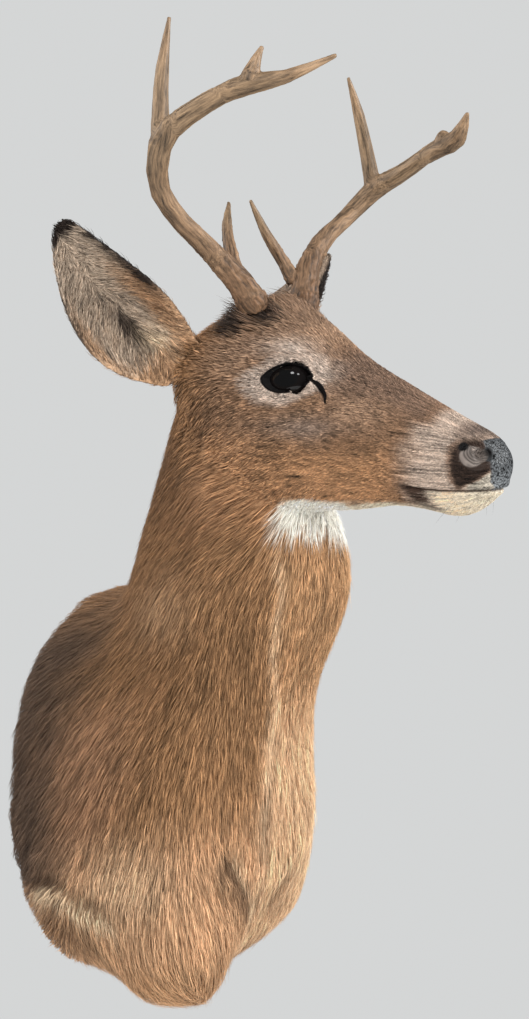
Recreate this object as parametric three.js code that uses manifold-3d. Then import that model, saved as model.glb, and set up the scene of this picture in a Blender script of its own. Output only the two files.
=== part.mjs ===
// White-tailed deer shoulder mount: shoulders and neck rising from a plywood back board, the head turned to
// the animal's left, and an eight-point rack. Millimetres, +Z up. The wall is the plane Y = 0, the animal
// looks out along -Y, and +X is its left. The origin lies on the board's wall face, amid the shoulders.
import * as THREE from "three";
import { mergeVertices } from "three/addons/utils/BufferGeometryUtils.js";
import Module from "manifold-3d";

const wasm = await Module();
wasm.setup();

// ---- driving dimensions ----
const GAP = 0.4; // parting cut between two neighbouring pieces
const BIG = 1200; // longer than any piece, for cutting tools
const CRUMB = 1; // cubic millimetres, below which a piece left by a cut is only a chip
const HEAD_ORIGIN = new THREE.Vector3(-14, -361, 336); // midway between the eyes
const HEAD_YAW = 18; // degrees towards the animal's left
const HEAD_PITCH = 16; // degrees nose down
const HEAD_ROLL = 11; // degrees, crown leaning towards the animal's right
const EYE_RADIUS = 17.5;
const EYE_CENTRE = new THREE.Vector3(2, 38.5, -3); // head frame, left eye
const BOARD_THICKNESS = 15;
const BOARD_INSET = 11; // how far the hide's rim stands outside the board
const RIM = 1; // the hide stops this far short of the wall

const COLLAR = 5; // body stations at which the neck is parted
const THROAT = 8;
const NOSE_BACK = [180, 0, -57]; // head frame: the back of the bare nose
const NOSE_FACING = [0.95, 0, 0.316];
const NOSTRIL = new THREE.Vector3(187, 22, -53); // head frame
const NOSTRIL_SIZE = new THREE.Vector3(12, 6.5, 6);
const FIT = 0.6; // room round a piece that is set into another
const SEAT = 0.9; // room round the head in the neck

const COAT = { color: 0x8b6a4b, roughness: 0.85, metalness: 0 };
const PALE = { color: 0xd8c8b4, roughness: 0.85, metalness: 0 };
const DARK = { color: 0x2a2626, roughness: 0.45, metalness: 0 };
const GLASS = { color: 0x120c08, roughness: 0.05, metalness: 0 };
const ANTLER = { color: 0xa98a62, roughness: 0.6, metalness: 0 };
const PLY = { color: 0xc9a676, roughness: 0.7, metalness: 0 };
const STEEL = { color: 0xb4b6b8, roughness: 0.35, metalness: 1 };

const rad = THREE.MathUtils.degToRad;
const vec = (x, y, z) => new THREE.Vector3(x, y, z);

// ---- solids ----
function solidOf(geometry) {
  const bare = geometry.clone();
  for (const name of Object.keys(bare.attributes)) {
    if (name !== "position") bare.deleteAttribute(name);
  }
  const merged = mergeVertices(bare, 1e-3);
  return new wasm.Manifold(
    new wasm.Mesh({
      numProp: 3,
      vertProperties: new Float32Array(merged.attributes.position.array),
      triVerts: new Uint32Array(merged.index.array),
    }),
  );
}

function meshOf(solid, name, look) {
  const cut = solid.getMesh();
  const position = new Float32Array(cut.numVert * 3);
  for (let i = 0; i < cut.numVert; i++) {
    position.set(cut.vertProperties.subarray(i * cut.numProp, i * cut.numProp + 3), i * 3);
  }
  const geometry = new THREE.BufferGeometry();
  geometry.setAttribute("position", new THREE.BufferAttribute(position, 3));
  geometry.setIndex(new THREE.BufferAttribute(new Uint32Array(cut.triVerts), 1));
  geometry.computeVertexNormals();
  const mesh = new THREE.Mesh(geometry, new THREE.MeshStandardMaterial(look));
  mesh.name = name;
  return mesh;
}

// Closes a stack of rings, each a list of as many points, into one skin with a fan over each end.
function loft(rings) {
  const sides = rings[0].length;
  const points = rings.flat();
  const ends = [rings[0], rings[rings.length - 1]].map((ring) =>
    ring.reduce((sum, p) => sum.add(p), vec(0, 0, 0)).divideScalar(sides),
  );
  const first = points.length;
  points.push(...ends);
  const index = [];
  for (let i = 0; i + 1 < rings.length; i++) {
    for (let j = 0; j < sides; j++) {
      const a = i * sides + j;
      const b = i * sides + ((j + 1) % sides);
      index.push(a, b, a + sides, b, b + sides, a + sides);
    }
  }
  const top = (rings.length - 1) * sides;
  for (let j = 0; j < sides; j++) {
    const k = (j + 1) % sides;
    index.push(first, k, j, first + 1, top + j, top + k);
  }
  return closed(points, index);
}

// A geometry with its faces pointing out, whichever way they were listed.
function closed(points, index) {
  let volume = 0;
  const cross = vec(0, 0, 0);
  for (let i = 0; i < index.length; i += 3) {
    cross.crossVectors(points[index[i + 1]], points[index[i + 2]]);
    volume += points[index[i]].dot(cross);
  }
  const facing = index.slice();
  if (volume < 0) facing.reverse();
  const geometry = new THREE.BufferGeometry().setFromPoints(points);
  geometry.setIndex(facing);
  return geometry;
}

// Reads every number of a list of stations at a share from 0 to 1 of its length, on a smooth curve.
function between(stations, share) {
  const last = stations.length - 1;
  const at = Math.min(share * last, last - 1e-9);
  const i = Math.floor(at);
  const t = at - i;
  const row = {};
  for (const key of Object.keys(stations[0])) {
    const [a, b, c, d] = [i - 1, i, i + 1, i + 2].map((k) => stations[Math.max(0, Math.min(last, k))][key]);
    row[key] = b + 0.5 * t * (c - a + t * (2 * a - 5 * b + 4 * c - d + t * (3 * (b - c) + d - a)));
  }
  return row;
}

const power = (value, n) => Math.sign(value) * Math.abs(value) ** (2 / n);

// Sum of the named swellings (h > 0) and hollows (h < 0) at a point; each is mirrored to the other side.
function swell(point, bumps, side) {
  let out = 0;
  for (const b of bumps) {
    const mirrored = point.clone();
    mirrored[side] = Math.abs(mirrored[side]);
    out += b.h * Math.exp(-mirrored.distanceToSquared(b.at) / (b.r * b.r));
  }
  return out;
}

// ---- shoulders and neck ----
// Eleven stations cut the animal across: wall, ribs, shoulder, brisket, breast, collar, low neck, throat,
// high neck, nape and skull. First, where each one meets the line of the back and the line of the breast.
const BODY_LINE = [
  { backY: -RIM, backZ: 190, frontY: -RIM, frontZ: -188 },
  { backY: -22, backZ: 193, frontY: -92, frontZ: -202 },
  { backY: -42, backZ: 192, frontY: -168, frontZ: -172 },
  { backY: -58, backZ: 193, frontY: -218, frontZ: -102 },
  { backY: -72, backZ: 197, frontY: -235, frontZ: -14 },
  { backY: -84, backZ: 206, frontY: -260, frontZ: 60 },
  { backY: -96, backZ: 223, frontY: -304, frontZ: 125 },
  { backY: -112, backZ: 250, frontY: -322, frontZ: 176 },
  { backY: -147, backZ: 290, frontY: -326, frontZ: 218 },
  { backY: -184, backZ: 334, frontY: -318, frontZ: 256 },
  { backY: -226, backZ: 360, frontY: -318, frontZ: 290 },
];
// Then its half width, its middle, how far its front end leans over sideways, its turn to the animal's left
// in degrees, and how square its back half (n) and its front half (m) are.
const BODY_FORM = [
  { half: 138, x: -15, lean: -36, yaw: 0, n: 2.3, m: 2.5 },
  { half: 141, x: -14, lean: -36, yaw: 0, n: 2.2, m: 2.5 },
  { half: 128, x: -10, lean: -30, yaw: 0, n: 2.1, m: 2.4 },
  { half: 111, x: -7, lean: -20, yaw: 1, n: 2, m: 2.2 },
  { half: 99, x: -2, lean: -8, yaw: 2, n: 2, m: 2.1 },
  { half: 95, x: 0, lean: 0, yaw: 4, n: 2, m: 2 },
  { half: 95, x: 1, lean: 0, yaw: 7, n: 2, m: 2 },
  { half: 84, x: 0, lean: 0, yaw: 10, n: 2, m: 2 },
  { half: 73, x: -11, lean: 0, yaw: 13, n: 2, m: 2 },
  { half: 58, x: -26, lean: 0, yaw: 16, n: 2, m: 2 },
  { half: 44, x: -40, lean: 0, yaw: 18, n: 2, m: 2 },
];
const BODY = BODY_LINE.map((line, i) => ({ ...line, ...BODY_FORM[i] }));
const BODY_RINGS = 23;
const BODY_SIDES = 28;
const BODY_BUMPS = [
  { at: vec(128, -70, 45), r: 75, h: 7 }, // shoulder blade
  { at: vec(92, -200, -70), r: 60, h: 9 }, // point of the shoulder
  { at: vec(86, -205, 70), r: 38, h: -6 }, // groove ahead of the shoulder
  { at: vec(0, -250, -60), r: 42, h: 6 }, // breast bone
];

function bodySolid(grow = 0) {
  const rings = [];
  for (let i = 0; i < BODY_RINGS; i++) {
    const s = between(BODY, i / (BODY_RINGS - 1));
    const turn = rad(s.yaw);
    const ahead = vec(Math.sin(turn), -Math.cos(turn), 0);
    const left = vec(Math.cos(turn), Math.sin(turn), 0);
    const centre = vec(s.x, (s.backY + s.frontY) / 2, (s.backZ + s.frontZ) / 2);
    const reach = ahead.multiplyScalar((s.backY - s.frontY) / 2);
    reach.x += s.lean / 2;
    reach.z = (s.frontZ - s.backZ) / 2;
    const deep = reach.length();
    const ring = [];
    for (let j = 0; j < BODY_SIDES; j++) {
      const a = (2 * Math.PI * j) / BODY_SIDES;
      const point = centre.clone();
      const n = Math.sin(a) > 0 ? s.m : s.n;
      point.addScaledVector(left, (s.half + grow) * power(Math.cos(a), n));
      point.addScaledVector(reach, (1 + grow / deep) * power(Math.sin(a), n));
      const out = point.clone().sub(centre).normalize();
      ring.push(point.addScaledVector(out, swell(point, BODY_BUMPS, "x")));
    }
    rings.push(ring);
  }
  return solidOf(loft(rings));
}

// ---- upper forelegs, cut short above the elbow ----
const LEG = [
  { x: 84, y: -112, z: -10, reach: 66, half: 46 },
  { x: 82, y: -124, z: -60, reach: 76, half: 52 },
  { x: 76, y: -136, z: -110, reach: 80, half: 54 },
  { x: 70, y: -146, z: -150, reach: 76, half: 52 },
  { x: 67, y: -150, z: -180, reach: 64, half: 46 },
  { x: 66, y: -150, z: -204, reach: 50, half: 37 },
  { x: 66, y: -148, z: -221, reach: 16, half: 13 },
];
const LEG_SET = { left: vec(-4, 22, 60), right: vec(-3, 0, 0) }; // the left one is cut shorter, further back
const LEG_SIZE = { left: 0.78, right: 1 };
const LEG_TURN = 20; // degrees, the front of the leg turned in towards the breast
const LEG_SIDES = 18;
const LEG_RINGS = 10;

function legSolid(name, side, grow = 0) {
  const turn = rad(LEG_TURN);
  const ahead = vec(-Math.sin(turn) * side, -Math.cos(turn), 0);
  const out = vec(Math.cos(turn) * side, -Math.sin(turn), 0);
  const rings = [];
  for (let i = 0; i < LEG_RINGS; i++) {
    const s = between(LEG, i / (LEG_RINGS - 1));
    const ring = [];
    for (let j = 0; j < LEG_SIDES; j++) {
      const a = (2 * Math.PI * j) / LEG_SIDES;
      const point = vec(s.x * side, s.y, s.z).add(LEG_SET[name]);
      point.addScaledVector(out, (s.half * LEG_SIZE[name] + grow) * Math.cos(a));
      point.addScaledVector(ahead, (s.reach * LEG_SIZE[name] + grow) * Math.sin(a));
      ring.push(point);
    }
    rings.push(ring);
  }
  return solidOf(loft(rings));
}

// ---- head, in its own frame: x forward, y to the animal's left, z up, from midway between the eyes ----
function headMatrix() {
  const [yaw, pitch, roll] = [rad(HEAD_YAW), rad(HEAD_PITCH), rad(HEAD_ROLL)];
  const ahead = vec(Math.sin(yaw) * Math.cos(pitch), -Math.cos(yaw) * Math.cos(pitch), -Math.sin(pitch));
  const level = vec(Math.cos(yaw), Math.sin(yaw), 0);
  const upright = vec(0, 0, 0).crossVectors(ahead, level);
  const left = level.clone().multiplyScalar(Math.cos(roll)).addScaledVector(upright, Math.sin(roll));
  const up = vec(0, 0, 0).crossVectors(ahead, left);
  return new THREE.Matrix4().makeBasis(ahead, left, up).setPosition(HEAD_ORIGIN);
}
const TO_PART = headMatrix();
const headPoint = (x, y, z) => vec(x, y, z).applyMatrix4(TO_PART);
const headWay = (x, y, z) => vec(x, y, z).transformDirection(TO_PART);

const HEAD = [
  { x: -128, top: 32, low: -88, mid: -22, half: 44, n: 2.0 }, // inside the neck
  { x: -108, top: 44, low: -104, mid: -22, half: 53, n: 2.0 }, // back of the skull
  { x: -80, top: 57, low: -117, mid: -26, half: 58, n: 2.1 }, // ears
  { x: -50, top: 66, low: -124, mid: -34, half: 60, n: 2.2 }, // antlers
  { x: -24, top: 60, low: -126, mid: -42, half: 59, n: 2.3 }, // jaw muscle
  { x: 2, top: 45, low: -124, mid: -46, half: 55, n: 2.3 }, // eyes
  { x: 28, top: 28, low: -121, mid: -50, half: 49, n: 2.3 },
  { x: 55, top: 14, low: -117, mid: -53, half: 43, n: 2.3 },
  { x: 84, top: 2, low: -111, mid: -54, half: 37, n: 2.3 },
  { x: 112, top: -10, low: -108, mid: -56, half: 33, n: 2.4 }, // corner of the mouth
  { x: 136, top: -20, low: -109, mid: -58, half: 31, n: 2.4 },
  { x: 156, top: -28, low: -110, mid: -60, half: 30, n: 2.4 }, // chin
  { x: 172, top: -35, low: -103, mid: -60, half: 28, n: 2.4 }, // nostrils
  { x: 184, top: -41, low: -92, mid: -61, half: 24, n: 2.3 },
  { x: 192, top: -49, low: -82, mid: -62, half: 17, n: 2.2 }, // nose
  { x: 196.5, top: -57, low: -70, mid: -63, half: 8, n: 2.0 },
];
const HEAD_RINGS = 25;
const HEAD_SIDES = 26;
const HEAD_BUMPS = [
  { at: vec(6, 46, 18), r: 20, h: 7 }, // brow
  { at: vec(-22, 46, 6), r: 18, h: 2 }, // back of the eye socket
  { at: vec(36, 42, -18), r: 15, h: -3 }, // tear pit
  { at: vec(-36, 54, -66), r: 34, h: 5 }, // jaw muscle
  { at: vec(52, 38, -52), r: 26, h: 3 }, // cheek bone
  { at: vec(-42, 52, 22), r: 18, h: -4 }, // temple
  { at: vec(-52, 40, 58), r: 20, h: 8 }, // antler pedicle
  { at: vec(-98, 58, 10), r: 24, h: 14 }, // root of the ear
  { at: vec(-114, 60, -14), r: 38, h: 17 }, // muscle behind the ear
  { at: vec(168, 26, -48), r: 14, h: 3 }, // wing of the nostril
  { at: vec(150, 28, -88), r: 13, h: -2.5 }, // under the lip
  { at: vec(88, 26, -96), r: 24, h: -4 }, // bars of the jaw
];

function headSolid(grow = 0) {
  const rings = [];
  for (let i = 0; i < HEAD_RINGS; i++) {
    const s = between(HEAD, i / (HEAD_RINGS - 1));
    const ring = [];
    for (let j = 0; j < HEAD_SIDES; j++) {
      const a = (2 * Math.PI * j) / HEAD_SIDES;
      const tall = Math.sin(a) > 0 ? s.top - s.mid + grow : s.mid - s.low + grow;
      const wide = (s.half + grow) * power(Math.cos(a), s.n);
      const point = vec(s.x, wide, s.mid + tall * power(Math.sin(a), s.n));
      const out = vec(0, point.y, point.z - s.mid).normalize();
      point.addScaledVector(out, swell(point, HEAD_BUMPS, "y"));
      ring.push(point.applyMatrix4(TO_PART));
    }
    rings.push(ring);
  }
  return solidOf(loft(rings));
}

// A ball in the head frame, stretched along its axes and placed in the part's frame.
function headBall(centre, radii, side, wide = 12, tall = 9) {
  const ball = new THREE.SphereGeometry(1, wide, tall);
  ball.rotateX(Math.PI / 2);
  ball.scale(radii.x, radii.y, radii.z);
  ball.translate(centre.x, centre.y * side, centre.z);
  ball.applyMatrix4(TO_PART);
  return solidOf(ball);
}

// The mouth line seen from the side: past the lips, the corner, the cheek, the jaw's angle and the throat.
const MOUTH = [
  [230, -84],
  [112, -85],
  [60, -87],
  [8, -93],
  [-30, -170],
];

// The thin bent sheet that parts the lower jaw from the rest of the head.
function jawCut() {
  const shape = new THREE.Shape();
  MOUTH.forEach(([x, z], i) => (i ? shape.lineTo(x, z) : shape.moveTo(x, z)));
  MOUTH.toReversed().forEach(([x, z]) => shape.lineTo(x + GAP, z - GAP));
  const sheet = new THREE.ExtrudeGeometry(shape, { depth: BIG, bevelEnabled: false });
  sheet.rotateX(Math.PI / 2);
  sheet.translate(0, BIG / 2, 0);
  sheet.applyMatrix4(TO_PART);
  return solidOf(sheet);
}

// ---- ears, in the head frame ----
// The middle of each ear's root, its tip and the way its cup opens: the left one is turned out further.
const EAR_PLACE = {
  left: { root: vec(-100, 76, 10), tip: vec(-132, 192, 107), open: vec(0.22, 0.93, -0.25) },
  right: { root: vec(-106, -78, 8), tip: vec(-140, -198, 122), open: vec(0.85, -0.46, -0.25) },
};
// Each station is one slice of the cup: how far along the ear, its half width and depth, and how
// thick its edges and its floor are.
const EAR = [
  { along: -0.1, half: 22, deep: 30, thick: 8, floor: 29, shift: -2 },
  { along: 0.03, half: 33, deep: 39, thick: 8, floor: 38, shift: -6 },
  { along: 0.16, half: 40, deep: 42, thick: 6, floor: 24, shift: -10 },
  { along: 0.3, half: 43, deep: 38, thick: 4.5, floor: 8, shift: -12 },
  { along: 0.46, half: 41, deep: 29, thick: 4, floor: 4, shift: -13 },
  { along: 0.62, half: 35, deep: 21, thick: 3.6, floor: 3.6, shift: -12 },
  { along: 0.78, half: 26, deep: 14, thick: 3.2, floor: 3.2, shift: -9 },
  { along: 0.92, half: 16, deep: 8, thick: 3, floor: 3, shift: -4 },
  { along: 1, half: 7, deep: 4, thick: 2.4, floor: 2.4, shift: -1 },
];
const EAR_RINGS = 13;
const EAR_SPAN = 9;

function earAxes(name, side) {
  const { root, tip } = EAR_PLACE[name];
  const along = tip.clone().sub(root);
  const length = along.length();
  along.normalize();
  const open = EAR_PLACE[name].open.clone();
  open.addScaledVector(along, -open.dot(along)).normalize();
  const lower = vec(0, 0, 0).crossVectors(along, open).multiplyScalar(side);
  return { root, along, open, lower, length };
}

// One slice of the ear: an arc that opens towards the front, set in by an edge and a floor thickness.
function earArc(axes, s, edge, floor) {
  const points = [];
  for (let j = 0; j <= EAR_SPAN; j++) {
    const a = Math.PI * (j / EAR_SPAN);
    const p = axes.root.clone().addScaledVector(axes.along, s.along * axes.length);
    p.addScaledVector(axes.lower, (s.half - edge) * Math.cos(a) - s.shift);
    p.addScaledVector(axes.open, -(s.deep - floor) * Math.sin(a));
    points.push(p.applyMatrix4(TO_PART));
  }
  return points;
}

function earSolid(name, side) {
  const axes = earAxes(name, side);
  const rings = [];
  for (let i = 0; i < EAR_RINGS; i++) {
    const s = between(EAR, i / (EAR_RINGS - 1));
    rings.push([...earArc(axes, s, 0, 0), ...earArc(axes, s, s.thick, s.floor).toReversed()]);
  }
  return solidOf(loft(rings));
}

// ---- antlers, in the head frame for the left side; the right side mirrors y ----
// A branch lists places on its centre line with its radius; the right antler stands higher by twice the lift.
const BEAM = [
  { x: -50, y: 39, z: 52, r: 13, lift: 0 }, // pedicle
  { x: -52, y: 42, z: 64, r: 16.5, lift: 0 }, // burr
  { x: -57, y: 48, z: 76, r: 12.5, lift: 0 },
  { x: -66, y: 68, z: 98, r: 10.6, lift: -3 },
  { x: -69, y: 96, z: 119, r: 8.8, lift: -6 },
  { x: -73, y: 124, z: 135, r: 8.3, lift: -3 },
  { x: -74, y: 149, z: 155, r: 9, lift: 2 },
  { x: -60, y: 164, z: 184, r: 10.4, lift: 9 }, // second tine
  { x: -32, y: 163, z: 202, r: 8.4, lift: 13 },
  { x: -2, y: 157, z: 218, r: 7.8, lift: 13 },
];
const BEAM_TIP = {
  right: [
    { x: -2, y: 157, z: 218, r: 7.8, lift: 13 },
    { x: 18, y: 150, z: 226, r: 8.4, lift: 13 },
    { x: 42, y: 133, z: 234, r: 5.4, lift: 12 },
    { x: 72, y: 107, z: 254, r: 1.6, lift: 11 },
  ],
  left: [
    { x: -2, y: 157, z: 218, r: 7.8, lift: 13 },
    { x: 20, y: 151, z: 227, r: 9, lift: 13 },
    { x: 46, y: 136, z: 232, r: 8.6, lift: 11 },
    { x: 69, y: 112, z: 252, r: 1.6, lift: 11 },
  ],
};
const BROW = [
  { x: -68, y: 46, z: 84, r: 8, lift: 3 },
  { x: -78, y: 42, z: 102, r: 6, lift: 5 },
  { x: -92, y: 30, z: 126, r: 4.6, lift: 2 },
  { x: -102, y: 16, z: 152, r: 1.4, lift: -2 },
];
const SECOND = [
  { x: -62, y: 163, z: 184, r: 8.6, lift: 9 },
  { x: -68, y: 158, z: 214, r: 6.8, lift: 8 },
  { x: -75, y: 149, z: 250, r: 5.2, lift: 5 },
  { x: -81, y: 136, z: 288, r: 1.4, lift: 9 },
];
const THIRD = {
  right: [
    { x: 18, y: 150, z: 228, r: 9, lift: 13 },
    { x: 20, y: 148, z: 241, r: 5.6, lift: 12 },
    { x: 24, y: 143, z: 257, r: 1.4, lift: 12 },
  ],
  left: [
    { x: 22, y: 150, z: 228, r: 9, lift: 12 },
    { x: 23, y: 149, z: 235, r: 7.4, lift: 12 },
    { x: 25, y: 148, z: 240, r: 3.6, lift: 12 },
  ],
};
const FORKS = [0.36, 0.84]; // shares of the beam past the brow tine and past the second, where it is parted
const ANTLER_SIDES = 8;
const BEAM_STEPS = 17;
const TINE_STEPS = 6;
const SHORT_TINE_STEPS = 3;
const A_LITTLE = 0.02; // share of a branch, to read which way it runs

function branchPoint(branch, side, share) {
  const s = between(branch, THREE.MathUtils.clamp(share, 0, 1));
  return { at: vec(s.x, s.y * side, s.z - s.lift * side), r: s.r };
}

function branchWay(branch, side, share) {
  const ahead = branchPoint(branch, side, share + A_LITTLE).at;
  return ahead.sub(branchPoint(branch, side, share - A_LITTLE).at).normalize();
}

// A closed round branch along its stations.
function tube(branch, side, steps, grow = 0) {
  const rings = [];
  let across = vec(1, 0, 0);
  for (let i = 0; i <= steps; i++) {
    const { at, r } = branchPoint(branch, side, i / steps);
    const along = branchWay(branch, side, i / steps);
    across = across.clone().addScaledVector(along, -across.dot(along)).normalize();
    const other = vec(0, 0, 0).crossVectors(along, across);
    const ring = [];
    for (let j = 0; j < ANTLER_SIDES; j++) {
      const a = (2 * Math.PI * j) / ANTLER_SIDES;
      const p = at.clone().addScaledVector(across, (r + grow) * Math.cos(a));
      ring.push(p.addScaledVector(other, (r + grow) * Math.sin(a)).applyMatrix4(TO_PART));
    }
    rings.push(ring);
  }
  return solidOf(loft(rings));
}

// A place on a branch and the way it runs there, in the part's frame.
function crossSection(branch, side, share) {
  const place = branchPoint(branch, side, share).at.applyMatrix4(TO_PART);
  return [place, branchWay(branch, side, share).transformDirection(TO_PART)];
}

// ---- parting ----
// A thin square sheet through a point, facing along a direction.
function sheetAt(point, facing) {
  const sheet = new THREE.BoxGeometry(BIG, BIG, GAP);
  sheet.applyQuaternion(new THREE.Quaternion().setFromUnitVectors(vec(0, 0, 1), facing.clone().normalize()));
  sheet.translate(point.x, point.y, point.z);
  return solidOf(sheet);
}

// The middle of one station of the body, and the way the neck runs through it.
function sliceOf(index) {
  const s = BODY[index];
  const turn = rad(s.yaw);
  const facing = vec(Math.sin(turn), -Math.cos(turn), 0).multiplyScalar(s.backZ - s.frontZ);
  facing.z = s.backY - s.frontY;
  return [vec(s.x, (s.backY + s.frontY) / 2, (s.backZ + s.frontZ) / 2), facing];
}

// Parts one solid with a thin sheet and gives the two halves, the one that lies along the facing first.
function part(solid, point, facing) {
  const halves = solid.subtract(sheetAt(point, facing)).decompose();
  const height = (piece) => {
    const box = piece.boundingBox();
    const middle = vec(...box.min).lerp(vec(...box.max), 0.5);
    return middle.sub(point).dot(facing);
  };
  const ordered = halves.filter((piece) => piece.volume() > CRUMB).sort((a, b) => height(b) - height(a));
  const low = ordered.pop();
  return [ordered.reduce((sum, piece) => sum.add(piece)), low];
}

// Parts the lower jaw from the head along the mouth and up behind the jaw's angle.
function partJaw(solid) {
  const pieces = solid.subtract(jawCut()).decompose();
  return pieces.sort((a, b) => b.volume() - a.volume()).slice(0, 2);
}

const largest = (solid) => solid.decompose().sort((a, b) => b.volume() - a.volume())[0];

// ---- back board ----
// It follows the hide's rim, set in from it, and leans as the rim does.
const BOARD_SIDES = 34;

function boardSolid(grow) {
  const rim = BODY[0];
  const outline = new THREE.Shape();
  const inset = BOARD_INSET - grow;
  const tall = (rim.backZ - rim.frontZ) / 2 - inset;
  const wide = rim.half - inset;
  for (let j = 0; j < BOARD_SIDES; j++) {
    const a = (2 * Math.PI * j) / BOARD_SIDES;
    const low = power(Math.sin(a), Math.sin(a) > 0 ? rim.m : rim.n);
    const side = power(Math.cos(a), Math.sin(a) > 0 ? rim.m : rim.n);
    const [x, z] = [rim.x + wide * side + (low * rim.lean) / 2, (rim.backZ + rim.frontZ) / 2 - tall * low];
    if (j) outline.lineTo(x, z);
    else outline.moveTo(x, z);
  }
  outline.closePath();
  const deep = BOARD_THICKNESS + 2 * grow;
  const board = new THREE.ExtrudeGeometry(outline, { depth: deep, bevelEnabled: false });
  board.rotateX(Math.PI / 2);
  board.translate(0, grow, 0);
  return solidOf(board);
}

// ---- hanger ----
// A keyhole plate set into the board, over a well for the head of the wall screw.
const HANGER = { wide: 64, tall: 40, thick: 2, z: 110, sunk: 0.5 };
const KEYHOLE = { hole: 9, slot: 4.5, drop: 6, rise: 12 };
const WELL = { wide: 30, tall: 36, deep: 9 };

function hangerSolids() {
  const plate = new THREE.Shape();
  const [w, h] = [HANGER.wide / 2, HANGER.tall / 2];
  plate.moveTo(-w, -h).lineTo(w, -h).lineTo(w, h).lineTo(-w, h).closePath();
  const { hole, slot, drop, rise } = KEYHOLE;
  const lean = Math.asin(slot / hole);
  const key = new THREE.Path();
  key.absarc(0, -drop, hole, Math.PI / 2 + lean, Math.PI / 2 - lean + 2 * Math.PI, false);
  key.lineTo(slot, rise);
  key.absarc(0, rise, slot, 0, Math.PI, false);
  plate.holes.push(key);
  const sheet = { depth: HANGER.thick, bevelEnabled: false, curveSegments: 4 };
  const steel = new THREE.ExtrudeGeometry(plate, sheet);
  steel.rotateX(Math.PI / 2);
  steel.translate(0, -HANGER.sunk, HANGER.z);
  const pocket = (wide, tall, deep) => {
    const block = new THREE.BoxGeometry(wide, 2 * deep, tall);
    return solidOf(block.translate(0, 0, HANGER.z));
  };
  const recess = pocket(HANGER.wide + 2 * GAP, HANGER.tall + 2 * GAP, HANGER.sunk + HANGER.thick + GAP);
  return { steel: solidOf(steel), pocket: recess.add(pocket(WELL.wide, WELL.tall, WELL.deep)) };
}

// ---- assembly ----
const group = new THREE.Group();
const add = (solid, name, look) => group.add(meshOf(solid, name, look));
const SIDES = [
  ["left", 1],
  ["right", -1],
];

const { steel, pocket } = hangerSolids();
add(boardSolid(0).subtract(pocket), "back_board", PLY);
add(steel, "hanger_plate", STEEL);

// Shoulders, legs and neck.
let animal = bodySolid().subtract(boardSolid(GAP));
for (const [name, side] of SIDES) {
  add(legSolid(name, side), `foreleg_${name}`, COAT);
  animal = animal.subtract(legSolid(name, side, FIT));
}
const [neck, trunk] = part(animal, ...sliceOf(COLLAR));
add(largest(trunk), "trunk", COAT);

// The head sits in a socket of its own shape at the neck's top.
const [neckUpper, neckLower] = part(largest(neck.subtract(headSolid(SEAT))), ...sliceOf(THROAT));
add(largest(neckLower), "neck_lower", COAT);
add(largest(neckUpper), "neck_upper", COAT);

let head = headSolid();
for (const [name, side] of SIDES) {
  const eyeball = vec(EYE_RADIUS, EYE_RADIUS, EYE_RADIUS);
  const socket = eyeball.clone().addScalar(GAP);
  head = head.subtract(headBall(EYE_CENTRE, socket, side));
  head = head.subtract(tube(BEAM, side, BEAM_STEPS, GAP));
  add(headBall(EYE_CENTRE, eyeball, side), `eye_${name}`, GLASS);
}
for (const [, side] of SIDES) head = head.subtract(headBall(NOSTRIL, NOSTRIL_SIZE, side));
const [upper, jaw] = partJaw(head);
add(jaw, "jaw", PALE);
const [nose, face] = part(upper, headPoint(...NOSE_BACK), headWay(...NOSE_FACING));
add(nose, "nose", DARK);
add(largest(face), "head", COAT);

// Ears.
const around = headSolid(FIT).add(bodySolid(FIT));
for (const [name, side] of SIDES) {
  add(largest(earSolid(name, side).subtract(around)), `ear_${name}`, COAT);
}

// Antlers.
for (const [name, side] of SIDES) {
  const whole = tube(BEAM, side, BEAM_STEPS);
  const room = tube(BEAM, side, BEAM_STEPS, GAP);
  const [above, base] = part(whole, ...crossSection(BEAM, side, FORKS[0]));
  const [upper, middle] = part(above, ...crossSection(BEAM, side, FORKS[1]));
  add(base, `antler_${name}_base`, ANTLER);
  add(middle, `antler_${name}_beam`, ANTLER);
  add(upper, `antler_${name}_upper_beam`, ANTLER);
  add(largest(tube(BEAM_TIP[name], side, TINE_STEPS).subtract(room)), `antler_${name}_tip`, ANTLER);
  add(largest(tube(BROW, side, TINE_STEPS).subtract(room)), `antler_${name}_brow_tine`, ANTLER);
  add(largest(tube(SECOND, side, TINE_STEPS).subtract(room)), `antler_${name}_second_tine`, ANTLER);
  const around = room.add(tube(BEAM_TIP[name], side, TINE_STEPS, GAP));
  const third = tube(THIRD[name], side, SHORT_TINE_STEPS).subtract(around);
  add(largest(third), `antler_${name}_third_tine`, ANTLER);
}

export default group;
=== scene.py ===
"""Dresses the deer shoulder mount: one skin, its coat, lids, eyes, nose, antlers, back board and hanger."""
import logging
import math
from dataclasses import dataclass
from enum import Enum
from typing import Sequence

import bmesh
import bpy
import numpy as np
from mathutils import Matrix, Vector
from mathutils.bvhtree import BVHTree


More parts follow.
